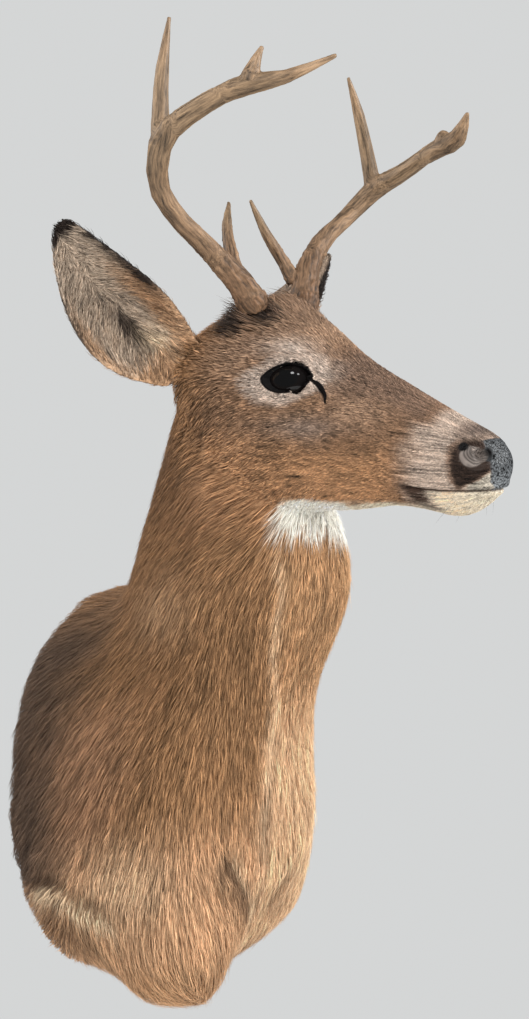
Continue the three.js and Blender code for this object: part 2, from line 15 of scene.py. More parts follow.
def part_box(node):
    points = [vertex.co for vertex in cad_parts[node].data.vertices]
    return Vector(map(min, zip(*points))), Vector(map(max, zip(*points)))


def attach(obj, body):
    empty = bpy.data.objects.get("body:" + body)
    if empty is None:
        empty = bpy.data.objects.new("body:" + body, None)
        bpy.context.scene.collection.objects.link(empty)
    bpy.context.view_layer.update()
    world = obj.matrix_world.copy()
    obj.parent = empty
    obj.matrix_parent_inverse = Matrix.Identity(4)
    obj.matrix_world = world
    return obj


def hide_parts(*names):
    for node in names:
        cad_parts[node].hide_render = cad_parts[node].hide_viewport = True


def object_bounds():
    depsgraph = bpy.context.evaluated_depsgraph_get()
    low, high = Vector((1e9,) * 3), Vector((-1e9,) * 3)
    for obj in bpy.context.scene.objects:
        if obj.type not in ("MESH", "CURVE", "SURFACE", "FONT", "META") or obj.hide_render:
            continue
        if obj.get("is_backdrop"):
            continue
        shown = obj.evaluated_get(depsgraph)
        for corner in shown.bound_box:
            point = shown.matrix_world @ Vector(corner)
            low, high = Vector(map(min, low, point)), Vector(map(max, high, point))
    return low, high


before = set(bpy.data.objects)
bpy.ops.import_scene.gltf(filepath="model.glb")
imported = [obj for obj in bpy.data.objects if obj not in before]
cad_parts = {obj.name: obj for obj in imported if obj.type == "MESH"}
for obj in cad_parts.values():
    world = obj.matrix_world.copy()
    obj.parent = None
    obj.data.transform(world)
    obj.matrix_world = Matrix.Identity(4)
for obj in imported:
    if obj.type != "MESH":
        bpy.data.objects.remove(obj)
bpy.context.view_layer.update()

LOG = logging.getLogger("deer")
MM = 0.001
Colour = tuple[float, float, float]
Array = np.ndarray
Mesh = bpy.types.Mesh
Piece = bpy.types.Object

# ---- driving dimensions, in metres and degrees ----
HEAD_YAW, HEAD_PITCH, HEAD_ROLL = 18.0, 16.0, 11.0
EYE_PLACE = np.array([2.0, 38.5, -3.0]) * MM  # the left eye's centre in the head frame
SIDES = {"left": 1.0, "right": -1.0}
FLIP = {side: np.array([1.0, sign, 1.0]) for side, sign in SIDES.items()}  # takes the left side to either
# Head frame: the middle of each ear's root, its tip, and the way its cup opens.
EAR_PLACE = {
    "left": ((-100.0, 76.0, 10.0), (-132.0, 192.0, 107.0), (0.22, 0.93, -0.25)),
    "right": ((-106.0, -78.0, 8.0), (-140.0, -198.0, 122.0), (0.85, -0.46, -0.25)),
}
SHRINK, SWELL = 0.55, 0.57  # the two turns by which a surface is evened out


# ---- small numerical helpers ----
def smooth(low: float, high: float, value: Array) -> Array:
    """Rises smoothly from 0 at low to 1 at high, which may lie below low for a fall."""
    share = np.clip((value - low) / (high - low), 0.0, 1.0)
    return share * share * (3.0 - 2.0 * share)


def blob(points: Array, centre: Sequence[float], reach: float | Sequence[float]) -> Array:
    """A soft spot that is 1 at its centre and fades over its reach, one number or one an axis."""
    return np.exp(-(((points - np.asarray(centre)) / np.asarray(reach)) ** 2).sum(axis=1))


def unit(vectors: Array) -> Array:
    """Vectors of length 1 in the same directions."""
    return vectors / np.maximum(np.linalg.norm(vectors, axis=-1, keepdims=True), 1e-12)


def tangent(ways: Array, normals: Array) -> Array:
    """The directions laid flat on the surface and made 1 long."""
    return unit(ways - (ways * normals).sum(axis=1, keepdims=True) * normals)


def hashed(cells: Array, seed: int) -> Array:
    """A steady random number from 0 to 1 for each whole-number cell.

    Args:
        cells: Three whole numbers a row.
        seed: Picks another pattern.

    Returns:
        One number for each row.
    """
    bits = cells[:, 0] * 73856093 ^ cells[:, 1] * 19349663 ^ cells[:, 2] * 83492791 ^ seed * 2654435761
    bits = (bits ^ (bits >> 13)) * 1274126177 & 0xFFFFFFFF
    return ((bits ^ (bits >> 16)) & 0xFFFF) / 65535.0


def noise(points: Array, scale: float, seed: int = 0) -> Array:
    """Smooth noise from -1 to 1.

    Args:
        points: Places, one a row.
        scale: The size of a lump.
        seed: Picks another pattern.

    Returns:
        The noise at each place.
    """
    grid = points / scale
    cell = np.floor(grid).astype(np.int64)
    share = grid - cell
    share = share * share * (3.0 - 2.0 * share)
    total = np.zeros(len(points))
    for corner in np.ndindex(2, 2, 2):
        step = np.array(corner)
        weight = np.where(step == 1, share, 1.0 - share).prod(axis=1)
        total += weight * hashed(cell + step, seed)
    return 2.0 * total - 1.0


def bell(value: Array, reach: float | Array) -> Array:
    """A soft band that is 1 where the value is 0 and fades over its reach to both sides."""
    return np.exp(-((value / reach) ** 2))


def mixed(base: Array, colour: Colour, share: Array) -> Array:
    """Base colours drawn towards one colour by a share of each."""
    return base + (np.asarray(colour) - base) * np.clip(share, 0.0, 1.0)[:, None]


# ---- frames ----
@dataclass(frozen=True)
class Axes:
    """A turned frame: an origin and three unit axes as the columns of a matrix."""

    origin: Array
    turn: Array

    def inside(self, points: Array) -> Array:
        """Places of the part's frame, read in this one."""
        return (points - self.origin) @ self.turn

    def outside(self, points: Array) -> Array:
        """Places of this frame, read in the part's."""
        return points @ self.turn.T + self.origin

    def way_in(self, ways: Array) -> Array:
        """Directions of the part's frame, read in this one."""
        return ways @ self.turn

    def way_out(self, ways: Array) -> Array:
        """Directions of this frame, read in the part's."""
        return ways @ self.turn.T


def head_axes() -> Axes:
    """The head's frame: x towards the nose, y to the animal's left, z to the crown, from between the eyes.

    Returns:
        Its axes, with the origin worked out from the two eyeballs of the frame.
    """
    yaw, pitch, roll = (math.radians(a) for a in (HEAD_YAW, HEAD_PITCH, HEAD_ROLL))
    ahead = np.array([math.sin(yaw) * math.cos(pitch), -math.cos(yaw) * math.cos(pitch), -math.sin(pitch)])
    level = np.array([math.cos(yaw), math.sin(yaw), 0.0])
    left = level * math.cos(roll) + np.cross(ahead, level) * math.sin(roll)
    turn = np.column_stack([ahead, left, np.cross(ahead, left)])
    middle = np.mean([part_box(f"eye_{side}") for side in SIDES], axis=(0, 1))
    return Axes(middle - turn @ (EYE_PLACE * np.array([1.0, 0.0, 1.0])), turn)


HEAD = head_axes()


# ---- meshes ----
def linked(name: str, data: bpy.types.ID) -> Piece:
    """Puts a new object in the scene.

    Args:
        name: Its name.
        data: What it shows.

    Returns:
        The object.
    """
    made = bpy.data.objects.new(name, data)
    bpy.context.scene.collection.objects.link(made)
    return made


def mesh_object(name: str, points: Array, faces: Array | list, flat: bool = False) -> Piece:
    """Makes an object of one mesh and links it to the scene.

    Args:
        name: The piece's name.
        points: Places of its vertices.
        faces: Vertex numbers of each face, all of one length in an array, or a list of lists.
        flat: Whether its faces are shaded flat.

    Returns:
        The new object.
    """
    mesh = bpy.data.meshes.new(name)
    if isinstance(faces, np.ndarray):
        count, sides = faces.shape
        mesh.vertices.add(len(points))
        mesh.vertices.foreach_set("co", points.astype(np.float32).ravel())
        mesh.loops.add(count * sides)
        mesh.loops.foreach_set("vertex_index", faces.astype(np.int32).ravel())
        mesh.polygons.add(count)
        mesh.polygons.foreach_set("loop_start", np.arange(0, count * sides, sides, dtype=np.int32))
        mesh.update(calc_edges=True)
    else:
        mesh.from_pydata([tuple(p) for p in points], [], faces)
    mesh.validate()
    mesh.shade_flat() if flat else mesh.shade_smooth()
    return linked(name, mesh)


def rows_of(items: bpy.types.bpy_prop_collection, key: str, width: int, kind: type) -> Array:
    """One property of all the items of a mesh.

    Args:
        items: The mesh's vertices, edges or triangles.
        key: The property's name.
        width: How many numbers it has.
        kind: The numbers' type.

    Returns:
        The property of one item a row.
    """
    found = np.empty(len(items) * width, kind)
    items.foreach_get(key, found)
    return found.reshape(-1, width)


def places(mesh: Mesh) -> Array:
    """The places of a mesh's vertices, one a row."""
    return rows_of(mesh.vertices, "co", 3, np.float32).astype(float)


def facings(mesh: Mesh) -> Array:
    """The normals of a mesh's vertices, one a row."""
    return rows_of(mesh.vertices, "normal", 3, np.float32).astype(float)


def move_to(mesh: Mesh, points: Array) -> None:
    """Sets the places of a mesh's vertices."""
    mesh.vertices.foreach_set("co", points.astype(np.float32).ravel())
    mesh.update()


def edges_of(mesh: Mesh) -> Array:
    """The two vertex numbers of each edge, one edge a row."""
    return rows_of(mesh.edges, "vertices", 2, np.int32)


def triangles_of(mesh: Mesh) -> Array:
    """The three vertex numbers of each triangle, one a row."""
    mesh.calc_loop_triangles()
    return rows_of(mesh.loop_triangles, "vertices", 3, np.int32)


def store_colour(mesh: Mesh, name: str, values: Array) -> None:
    """Keeps three numbers for each vertex under a name that a finish can read.

    Args:
        mesh: The mesh.
        name: The attribute's name.
        values: Three numbers a vertex.
    """
    layer = mesh.attributes.new(name, "FLOAT_COLOR", "POINT")
    rows = np.ones((len(values), 4), np.float32)
    rows[:, :3] = values
    layer.data.foreach_set("color", rows.ravel())


def with_modifier(piece: Piece, kind: str, **settings: object) -> None:
    """Adds one modifier to a piece and keeps its result as the piece's mesh.

    Args:
        piece: The piece.
        kind: The modifier's type.
        **settings: The modifier's properties.
    """
    modifier = piece.modifiers.new(kind.title(), kind)
    for key, value in settings.items():
        setattr(modifier, key, value)
    graph = bpy.context.evaluated_depsgraph_get()
    graph.update()
    made = bpy.data.meshes.new_from_object(piece.evaluated_get(graph))
    piece.modifiers.remove(modifier)
    old, piece.data = piece.data, made
    bpy.data.meshes.remove(old)


def swollen(meshes: Sequence[Mesh], by: float) -> Mesh:
    """Copies of some bodies, each grown outwards by a little, in one new mesh.

    Args:
        meshes: The bodies' meshes.
        by: How far each surface moves out.

    Returns:
        The new mesh.
    """
    whole = bmesh.new()
    for source in meshes:
        one = bmesh.new()
        one.from_mesh(source)
        bmesh.ops.remove_doubles(one, verts=one.verts, dist=0.01 * MM)
        bmesh.ops.recalc_face_normals(one, faces=one.faces)
        one.normal_update()
        for vertex in one.verts:
            vertex.co += vertex.normal * by
        larger = bpy.data.meshes.new("grown")
        one.to_mesh(larger)
        one.free()
        whole.from_mesh(larger)
        bpy.data.meshes.remove(larger)
    mesh = bpy.data.meshes.new("whole")
    whole.to_mesh(mesh)
    whole.free()
    return mesh


def grown(name: str, nodes: Sequence[str], swell: float, voxel: float) -> Piece:
    """Makes one closed surface of some nodes, swollen over their parting cuts.

    Args:
        name: The piece's name.
        nodes: The names of the nodes.
        swell: How far each of them grows.
        voxel: The size of the new surface's faces.

    Returns:
        The piece.
    """
    piece = linked(name, swollen([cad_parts[node].data for node in nodes], swell))
    with_modifier(piece, "REMESH", mode="VOXEL", voxel_size=voxel)
    return piece


def tree_over(nodes: Sequence[str]) -> tuple[BVHTree, Array]:
    """A search tree over some nodes.

    Args:
        nodes: Their names.

    Returns:
        The tree, and the number of the node that each of its faces belongs to.
    """
    points, faces, owner = [], [], []
    for number, name in enumerate(nodes):
        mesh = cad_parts[name].data
        rows = (triangles_of(mesh) + len(points)).tolist()
        points.extend(tuple(p) for p in places(mesh))
        faces.extend(rows)
        owner.extend([number] * len(rows))
    return BVHTree.FromPolygons(points, faces), np.array(owner)


def nearest_on(tree: BVHTree, points: Array) -> tuple[Array, Array]:
    """The places of a surface that are nearest to some places, and the way it faces there."""
    found = [tree.find_nearest(p)[:2] for p in points.tolist()]
    return np.array([f[0] for f in found]), np.array([f[1] for f in found])


def neighbour_mean(values: Array, edges: Array) -> Array:
    """The mean of each vertex's neighbours.

    Args:
        values: Numbers of each vertex, one vertex a row.
        edges: The vertex numbers of each edge.

    Returns:
        The means, shaped as the values.
    """
    count = len(values)
    near = np.maximum(np.bincount(edges.ravel(), minlength=count), 1)
    means = np.empty_like(values)
    for axis in range(values.shape[1]):
        column = values[:, axis]
        total = np.bincount(edges[:, 0], column[edges[:, 1]], count)
        means[:, axis] = (total + np.bincount(edges[:, 1], column[edges[:, 0]], count)) / near
    return means


def relaxed(points: Array, edges: Array, rounds: int, weight: Array, swell: float = SWELL) -> Array:
    """Evens out a surface while keeping its volume, by turns of shrinking and swelling.

    Args:
        points: Places of the vertices.
        edges: The vertex numbers of each edge.
        rounds: How many turns.
        weight: How far each vertex takes part, from 0 to 1.
        swell: How far each second turn goes back out.

    Returns:
        The new places.
    """
    moved = points.copy()
    for step in range(2 * rounds):
        pull = -swell if step % 2 else SHRINK
        if pull:
            moved += weight[:, None] * pull * (neighbour_mean(moved, edges) - moved)
    return moved


def spread(values: Array, edges: Array, rounds: int) -> Array:
    """Lets numbers soak into their neighbours.

    Args:
        values: One for each vertex.
        edges: The vertices at the ends of each edge.
        rounds: How many times they soak.

    Returns:
        The soaked numbers.
    """
    soaked = values[:, None].astype(float)
    for _ in range(rounds):
        soaked = 0.5 * soaked + 0.5 * neighbour_mean(soaked, edges)
    return soaked[:, 0]


def curve_through(corners: Array, steps: int = 6) -> Array:
    """A smooth line through some corners.

    Args:
        corners: Places, one a row.
        steps: How many stretches lie between two corners.

    Returns:
        Places along the line.
    """
    padded = np.vstack([2 * corners[0] - corners[1], corners, 2 * corners[-1] - corners[-2]])
    line = []
    for a, b, c, d in zip(padded, padded[1:], padded[2:], padded[3:]):
        for t in np.arange(steps) / steps:
            line.append(b + 0.5 * t * (c - a + t * (2 * a - 5 * b + 4 * c - d + t * (3 * (b - c) + d - a))))
    return np.array([*line, corners[-1]])


def ring_solid(rings: Array) -> Array:
    """Faces that join closed rings of places into a tube that closes on itself.

    Args:
        rings: Shaped (rings, places round each ring, 3).

    Returns:
        Four vertex numbers a face, for the places laid end to end.
    """
    count, around = rings.shape[:2]
    i, j = np.meshgrid(np.arange(count), np.arange(around), indexing="ij")
    i, j = i.ravel(), j.ravel()
    ahead, beside = (i + 1) % count, (j + 1) % around
    return np.column_stack([i * around + j, i * around + beside, ahead * around + beside, ahead * around + j])


# ---- shader maths ----
class Wire:
    """A shader value that can be used in sums, each of which adds its own node."""

    def __init__(self, tree: "Finish", socket: bpy.types.NodeSocket) -> None:
        """Keeps the finish that the value belongs to and the socket that gives it."""
        self.tree = tree
        self.socket = socket

    def _sum(self, operation: str, first: object, second: object) -> "Wire":
        """One Math node on two values."""
        node = self.tree.node("ShaderNodeMath", {"operation": operation}, {0: first, 1: second})
        return Wire(self.tree, node.outputs[0])

    def __add__(self, other: object) -> "Wire":
        """This value and another, added."""
        return self._sum("ADD", self, other)

    __radd__ = __add__

    def __sub__(self, other: object) -> "Wire":
        """This value less another."""
        return self._sum("SUBTRACT", self, other)

    def __rsub__(self, other: object) -> "Wire":
        """Another value less this one."""
        return self._sum("SUBTRACT", other, self)

    def __mul__(self, other: object) -> "Wire":
        """This value times another."""
        return self._sum("MULTIPLY", self, other)

    __rmul__ = __mul__

    def __pow__(self, other: object) -> "Wire":
        """This value to a power."""
        return self._sum("POWER", self, other)


class Finish:
    """A material with its node tree, and the one method that adds nodes to it."""

    def __init__(self, name: str, roughness: float, **constants: object) -> None:
        """Makes the material and sets what is the same all over it.

        Args:
            name: The finish's name.
            roughness: The shader's roughness where nothing varies it.
            **constants: Other inputs of the shader, with spaces written as underscores.
        """
        self.material = bpy.data.materials.new(name)
        self.material.use_nodes = True
        nodes = self.material.node_tree.nodes
        self.shader = next(n for n in nodes if n.type == "BSDF_PRINCIPLED")
        self.drive(Roughness=roughness, **constants)

    def node(self, kind: str, settings: dict | None = None, inputs: dict | None = None) -> bpy.types.Node:
        """Adds a node.

        Args:
            kind: The node's type.
            settings: Its properties; "stops" holds a colour ramp's places and colours.
            inputs: Values, wires or sockets for its inputs, by name or number.

        Returns:
            The new node.
        """
        made = self.material.node_tree.nodes.new(kind)
        for key, value in (settings or {}).items():
            if key == "stops":
                self._fill_ramp(made.color_ramp, value)
            else:
                setattr(made, key, value)
        for key, value in (inputs or {}).items():
            self.join(value, made.inputs[key])
        return made

    @staticmethod
    def _fill_ramp(ramp: bpy.types.ColorRamp, stops: Sequence[tuple[float, Colour]]) -> None:
        """Sets the stops of a colour ramp.

        Args:
            ramp: The ramp.
            stops: The place and colour of each stop.
        """
        while len(ramp.elements) > 1:
            ramp.elements.remove(ramp.elements[-1])
        for at, (place, colour) in enumerate(stops):
            element = ramp.elements[0] if at == 0 else ramp.elements.new(place)
            element.position = place
            element.color = (*colour, 1.0)

    def join(self, value: object, target: bpy.types.NodeSocket) -> None:
        """Links a wire or socket to an input, or sets the input to a plain value.

        Args:
            value: The wire, socket or value.
            target: The input.
        """
        if isinstance(value, Wire):
            value = value.socket
        if isinstance(value, bpy.types.NodeSocket):
            self.material.node_tree.links.new(value, target)
        elif target.type == "RGBA" and len(value) == 3:
            target.default_value = (*value, 1.0)
        else:
            target.default_value = value

    def drive(self, **values: object) -> None:
        """Joins values to inputs of the shader, whose names have underscores for spaces."""
        for key, value in values.items():
            self.join(value, self.shader.inputs[key.replace("_", " ")])

    def kept(self, name: str) -> bpy.types.NodeSocket:
        """The three numbers that the mesh keeps under a name."""
        return self.node("ShaderNodeAttribute", {"attribute_name": name}).outputs["Color"]

    def channels(self, name: str) -> tuple[Wire, Wire, Wire]:
        """The three numbers of an attribute, apart."""
        parts = self.node("ShaderNodeSeparateColor", None, {0: self.kept(name)})
        return tuple(Wire(self, socket) for socket in list(parts.outputs)[:3])

    def place(self, scale: Sequence[float] = (1.0, 1.0, 1.0)) -> object:
        """The object's own coordinates, stretched."""
        source = self.node("ShaderNodeTexCoord").outputs["Object"]
        return self.node("ShaderNodeMapping", None, {"Vector": source, "Scale": scale}).outputs[0]

    def speckle(self, vector: object, scale: float, detail: float = 3.0, rough: float = 0.55) -> Wire:
        """Noise from 0 to 1 along the given coordinates."""
        inputs = {"Vector": vector, "Scale": scale, "Detail": detail, "Roughness": rough}
        return Wire(self, self.node("ShaderNodeTexNoise", None, inputs).outputs["Fac"])

    def blend(self, share: object, first: object, second: object) -> object:
        """A mix of two colours by a share."""
        return self.node("ShaderNodeMix", {"data_type": "RGBA"}, {0: share, 6: first, 7: second}).outputs[2]

    def ramp(self, value: object, stops: Sequence[tuple[float, Colour]]) -> object:
        """Colours read from a row of stops by a value."""
        return self.node("ShaderNodeValToRGB", {"stops": stops}, {0: value}).outputs[0]

    def scaled(self, colour: object, value: object) -> object:
        """A colour times a value."""
        node = self.node("ShaderNodeVectorMath", {"operation": "SCALE"}, {0: colour, "Scale": value})
        return node.outputs[0]

    def bump(self, height: object, depth: float, strength: float = 1.0) -> object:
        """A normal that follows a height, which is depth metres deep where it is 1."""
        inputs = {"Height": height, "Distance": depth, "Strength": strength}
        return self.node("ShaderNodeBump", None, inputs).outputs[0]

    def wear(self, piece: Piece) -> None:
        """Gives the finish to a piece."""
        piece.data.materials.clear()
        piece.data.materials.append(self.material)


def dressed(piece: Piece, finish: Finish, nodes: Sequence[str] = ()) -> Piece:
    """Gives a piece its finish and tells the frame what it belongs to.

    Args:
        piece: The piece.
        finish: Its finish.
        nodes: The nodes that it stands for.

    Returns:
        The same piece.
    """
    finish.wear(piece)
    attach(piece, "root")
    if nodes:
        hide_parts(*nodes)
    return piece


# ---- the skin ----
class Region(Enum):
    """The stretches of the animal that differ in coat."""

    TRUNK = 0
    NECK = 1
    HEAD = 2
    EARS = 3


FLESH = {
    "trunk": Region.TRUNK, "neck_lower": Region.NECK, "neck_upper": Region.NECK, "head": Region.HEAD,
    "jaw": Region.HEAD, "nose": Region.HEAD, "foreleg_left": Region.TRUNK, "foreleg_right": Region.TRUNK,
    "ear_left": Region.EARS, "ear_right": Region.EARS,
}


@dataclass
class EarCup:
    """One ear's own coordinates: along it, across it and out of its cup."""

    side: str

    def __post_init__(self) -> None:
        """Works out the ear's axes in the head frame."""
        root, tip, opening = (np.array(place) for place in EAR_PLACE[self.side])
        self.root = root * MM
        self.length = float(np.linalg.norm(tip - root)) * MM
        along = unit(tip - root)
        opening = unit(opening - opening.dot(along) * along)
        lower = np.cross(along, opening) * SIDES[self.side]
        self.turn = np.column_stack([along, lower, opening])

    def read(self, points: Array) -> Array:
        """Head-frame places as share along the ear, way towards its lower edge and way out of its cup."""
        return ((points - self.root) @ self.turn) / np.array([self.length, 1.0, 1.0])

    def ways(self, ways: Array) -> Array:
        """Head-frame directions along the ear, towards its lower edge and out of the cup."""
        return ways @ self.turn


EARS = {side: EarCup(side) for side in SIDES}


@dataclass
class EyeOpening:
    """The almond between one eye's lids, in a flat frame that faces out of the socket."""

    side: str
    long: float = 24.0 * MM
    above: float = 12.6 * MM
    below: float = 12.4 * MM
    centre: tuple[float, float, float] = (-1.6, 50.6, -2.6)
    ball_depth: float = 14.0 * MM
    ball_size: tuple[float, float, float] = (22.0 * MM, 17.5 * MM, 17.5 * MM)

    def __post_init__(self) -> None:
        """Works out the flat frame from the corners of the eye."""
        flip = FLIP[self.side]
        self.origin = np.array(self.centre) * MM * flip
        ahead = unit(np.array([48.0, -11.6, 5.3]) * flip)
        out = np.array([0.1, 1.0, 0.12]) * flip
        out = unit(out - out.dot(ahead) * ahead)
        up = np.cross(ahead, out) * SIDES[self.side]
        self.turn = np.column_stack([ahead, up, out])
        self.ball = self.origin - self.ball_depth * out

    def read(self, points: Array) -> Array:
        """Head-frame places as distances ahead, up and out of the socket."""
        return (points - self.origin) @ self.turn

    def ball_share(self, points: Array) -> Array:
        """How far out of the ball's middle head-frame places lie, 1 on its surface."""
        return np.linalg.norm((points - self.ball) @ self.turn / np.array(self.ball_size), axis=1)

    def place(self, flat: Array) -> Array:
        """Places of the flat frame, in the head frame."""
        return flat @ self.turn.T + self.origin

    def outline(self, angle: Array, shrink: float = 1.0) -> Array:
        """Places ahead and up on the almond, pointed at both corners.

        Args:
            angle: The way round it, in radians from the front corner.
            shrink: Its size against the opening.

        Returns:
            Two numbers a row.
        """
        ahead = np.cos(angle)
        upper = np.sin(angle) > 0
        tall = self._tall(ahead, upper) * np.abs(np.sin(angle)) ** 1.25
        return np.column_stack([self.long * ahead, np.where(upper, tall, -tall)]) * shrink

    def _tall(self, ahead: Array, upper: Array) -> Array:
        """How far the lids part at a share of the way ahead: the upper peaks in front, the lower behind."""
        return np.where(upper, self.above * (1.0 + 0.26 * ahead), self.below * (1.0 - 0.2 * ahead))

    def share(self, flat: Array) -> Array:
        """How far out places lie.

        Args:
            flat: Places in the opening's plane.

        Returns:
            The share of each, 1 on the almond's outline.
        """
        ahead = flat[:, 0] / self.long
        tall = self._tall(np.clip(ahead, -1.5, 1.5), flat[:, 1] > 0)
        return np.abs(ahead) ** 1.7 + (np.abs(flat[:, 1]) / tall) ** 1.6

    def around(self, points: Array) -> tuple[Array, Array]:
        """How far out of the almond head-frame places lie, 1 on its outline, and how far off its plane."""
        flat = self.read(points)
        return self.share(flat), np.abs(flat[:, 2])


OPENINGS = {side: EyeOpening(side) for side in SIDES}
BURR = np.array([-51.0, 41.0, 63.0]) * MM  # the foot of the left antler, in the head frame
TEAR_SLIT = np.array([[19.5, 45.0, -1.5], [24.5, 42.5, -4.5], [29.0, 41.0, -9.0], [32.6, 41.0, -14.5],
                      [35.8, 41.2, -23.0]]) * MM
MOUTH_LINE = np.array([[102.0, -85.4], [112.0, -86.0], [128.0, -87.2], [147.0, -86.8], [174.0, -83.8],
                       [196.0, -81.6]]) * MM
NOSTRIL_SWEEP = np.array([[166.5, 26.5, -46.0], [167.0, 28.0, -53.0], [171.5, 28.0, -60.0],
                          [179.5, 25.5, -63.5], [187.0, 21.5, -60.0], [187.5, 18.5, -50.0]]) * MM
NOSTRIL_CREASE = np.array([[170.0, 27.0, -49.5], [172.5, 27.0, -55.5], [178.0, 25.5, -58.5],
                           [184.0, 22.0, -57.0]]) * MM
NOSTRIL_REAR = (np.array([167.5, 26.0, -47.0]) * MM, np.array([4.2, 6.0, 3.6]) * MM)  # middle and reach
NOSTRIL_FRONT = (np.array([185.6, 19.0, -51.0]) * MM, np.array([3.0, 5.0, 4.6]) * MM)

# Creases of the shoulder's skin over the leg and behind the elbow, of the left side and in the part's frame.
LEG_CREASE = np.array([[55.0, -219.0, -70.0], [47.0, -216.0, -90.0], [30.0, -209.0, -111.0],
                       [10.0, -192.0, -135.0]]) * MM
ELBOW_CREASE = np.array([[149.0, -35.0, -104.0], [146.0, -80.0, -103.0], [135.0, -108.0, -119.0],
                         [122.0, -152.0, -132.0]]) * MM


def run_along(line: Array) -> Array:
    """The length run from a line's start to each of its corners."""
    return np.concatenate([[0.0], np.cumsum(np.linalg.norm(np.diff(line, axis=0), axis=1))])


def read_line(line: Array, marks: Array, at: Array) -> Array:
    """Places on a broken line, read at numbers that rise from corner to corner as its marks do."""
    return np.column_stack([np.interp(at, marks, line[:, axis]) for axis in range(3)])


def to_line(points: Array, line: Array) -> tuple[Array, Array]:
    """The distance from each place to a broken line, and the share of the line's length where it is nearest.

    Args:
        points: Places, one a row.
        line: The line's corners, one a row.

    Returns:
        The distances and the shares.
    """
    spans = np.diff(line, axis=0)
    lengths = np.linalg.norm(spans, axis=1)
    before = run_along(line)
    best = np.full(len(points), np.inf)
    share = np.zeros(len(points))
    for start, span, length, run in zip(line[:-1], spans, lengths, before[:-1]):
        t = np.clip(((points - start) @ span) / length**2, 0.0, 1.0)
        gap = np.linalg.norm(points - (start + t[:, None] * span), axis=1)
        nearer = gap < best
        best = np.where(nearer, gap, best)
        share = np.where(nearer, (run + t * length) / before[-1], share)
    return best, share


def mirrored(points: Array, axis: int = 1) -> Array:
    """Lays both sides on the left one, where the axis is positive.

    Args:
        points: Places, one a row.
        axis: Which axis that is.

    Returns:
        The laid places.
    """
    laid = points.copy()
    laid[:, axis] = np.abs(laid[:, axis])
    return laid


def over_mouth(head: Array) -> Array:
    """How far head-frame places lie over the line of the mouth."""
    return head[:, 2] - np.interp(head[:, 0], MOUTH_LINE[:, 0], MOUTH_LINE[:, 1])


@dataclass
class Surface:
    """What the coat and the markings need to know at places of the skin."""

    points: Array
    normals: Array
    regions: Array

    def __post_init__(self) -> None:
        """Reads the places in the head frame and in the ears' own."""
        self.head = HEAD.inside(self.points)
        self.head_normals = HEAD.way_in(self.normals)
        self.folded = mirrored(self.head)
        self.is_ear = self.regions == Region.EARS.value
        self.is_head = self.regions == Region.HEAD.value
        left = self.head[:, 1] > 0
        both = [EARS[side].read(self.head) for side in SIDES]
        self.ear = np.where(left[:, None], both[0], both[1])
        facing = [EARS[side].ways(self.head_normals) for side in SIDES]
        self.ear_facing = np.where(left[:, None], facing[0], facing[1])

    def part(self, keep: Array) -> "Surface":
        """The same for some of the places."""
        return Surface(self.points[keep], self.normals[keep], self.regions[keep])


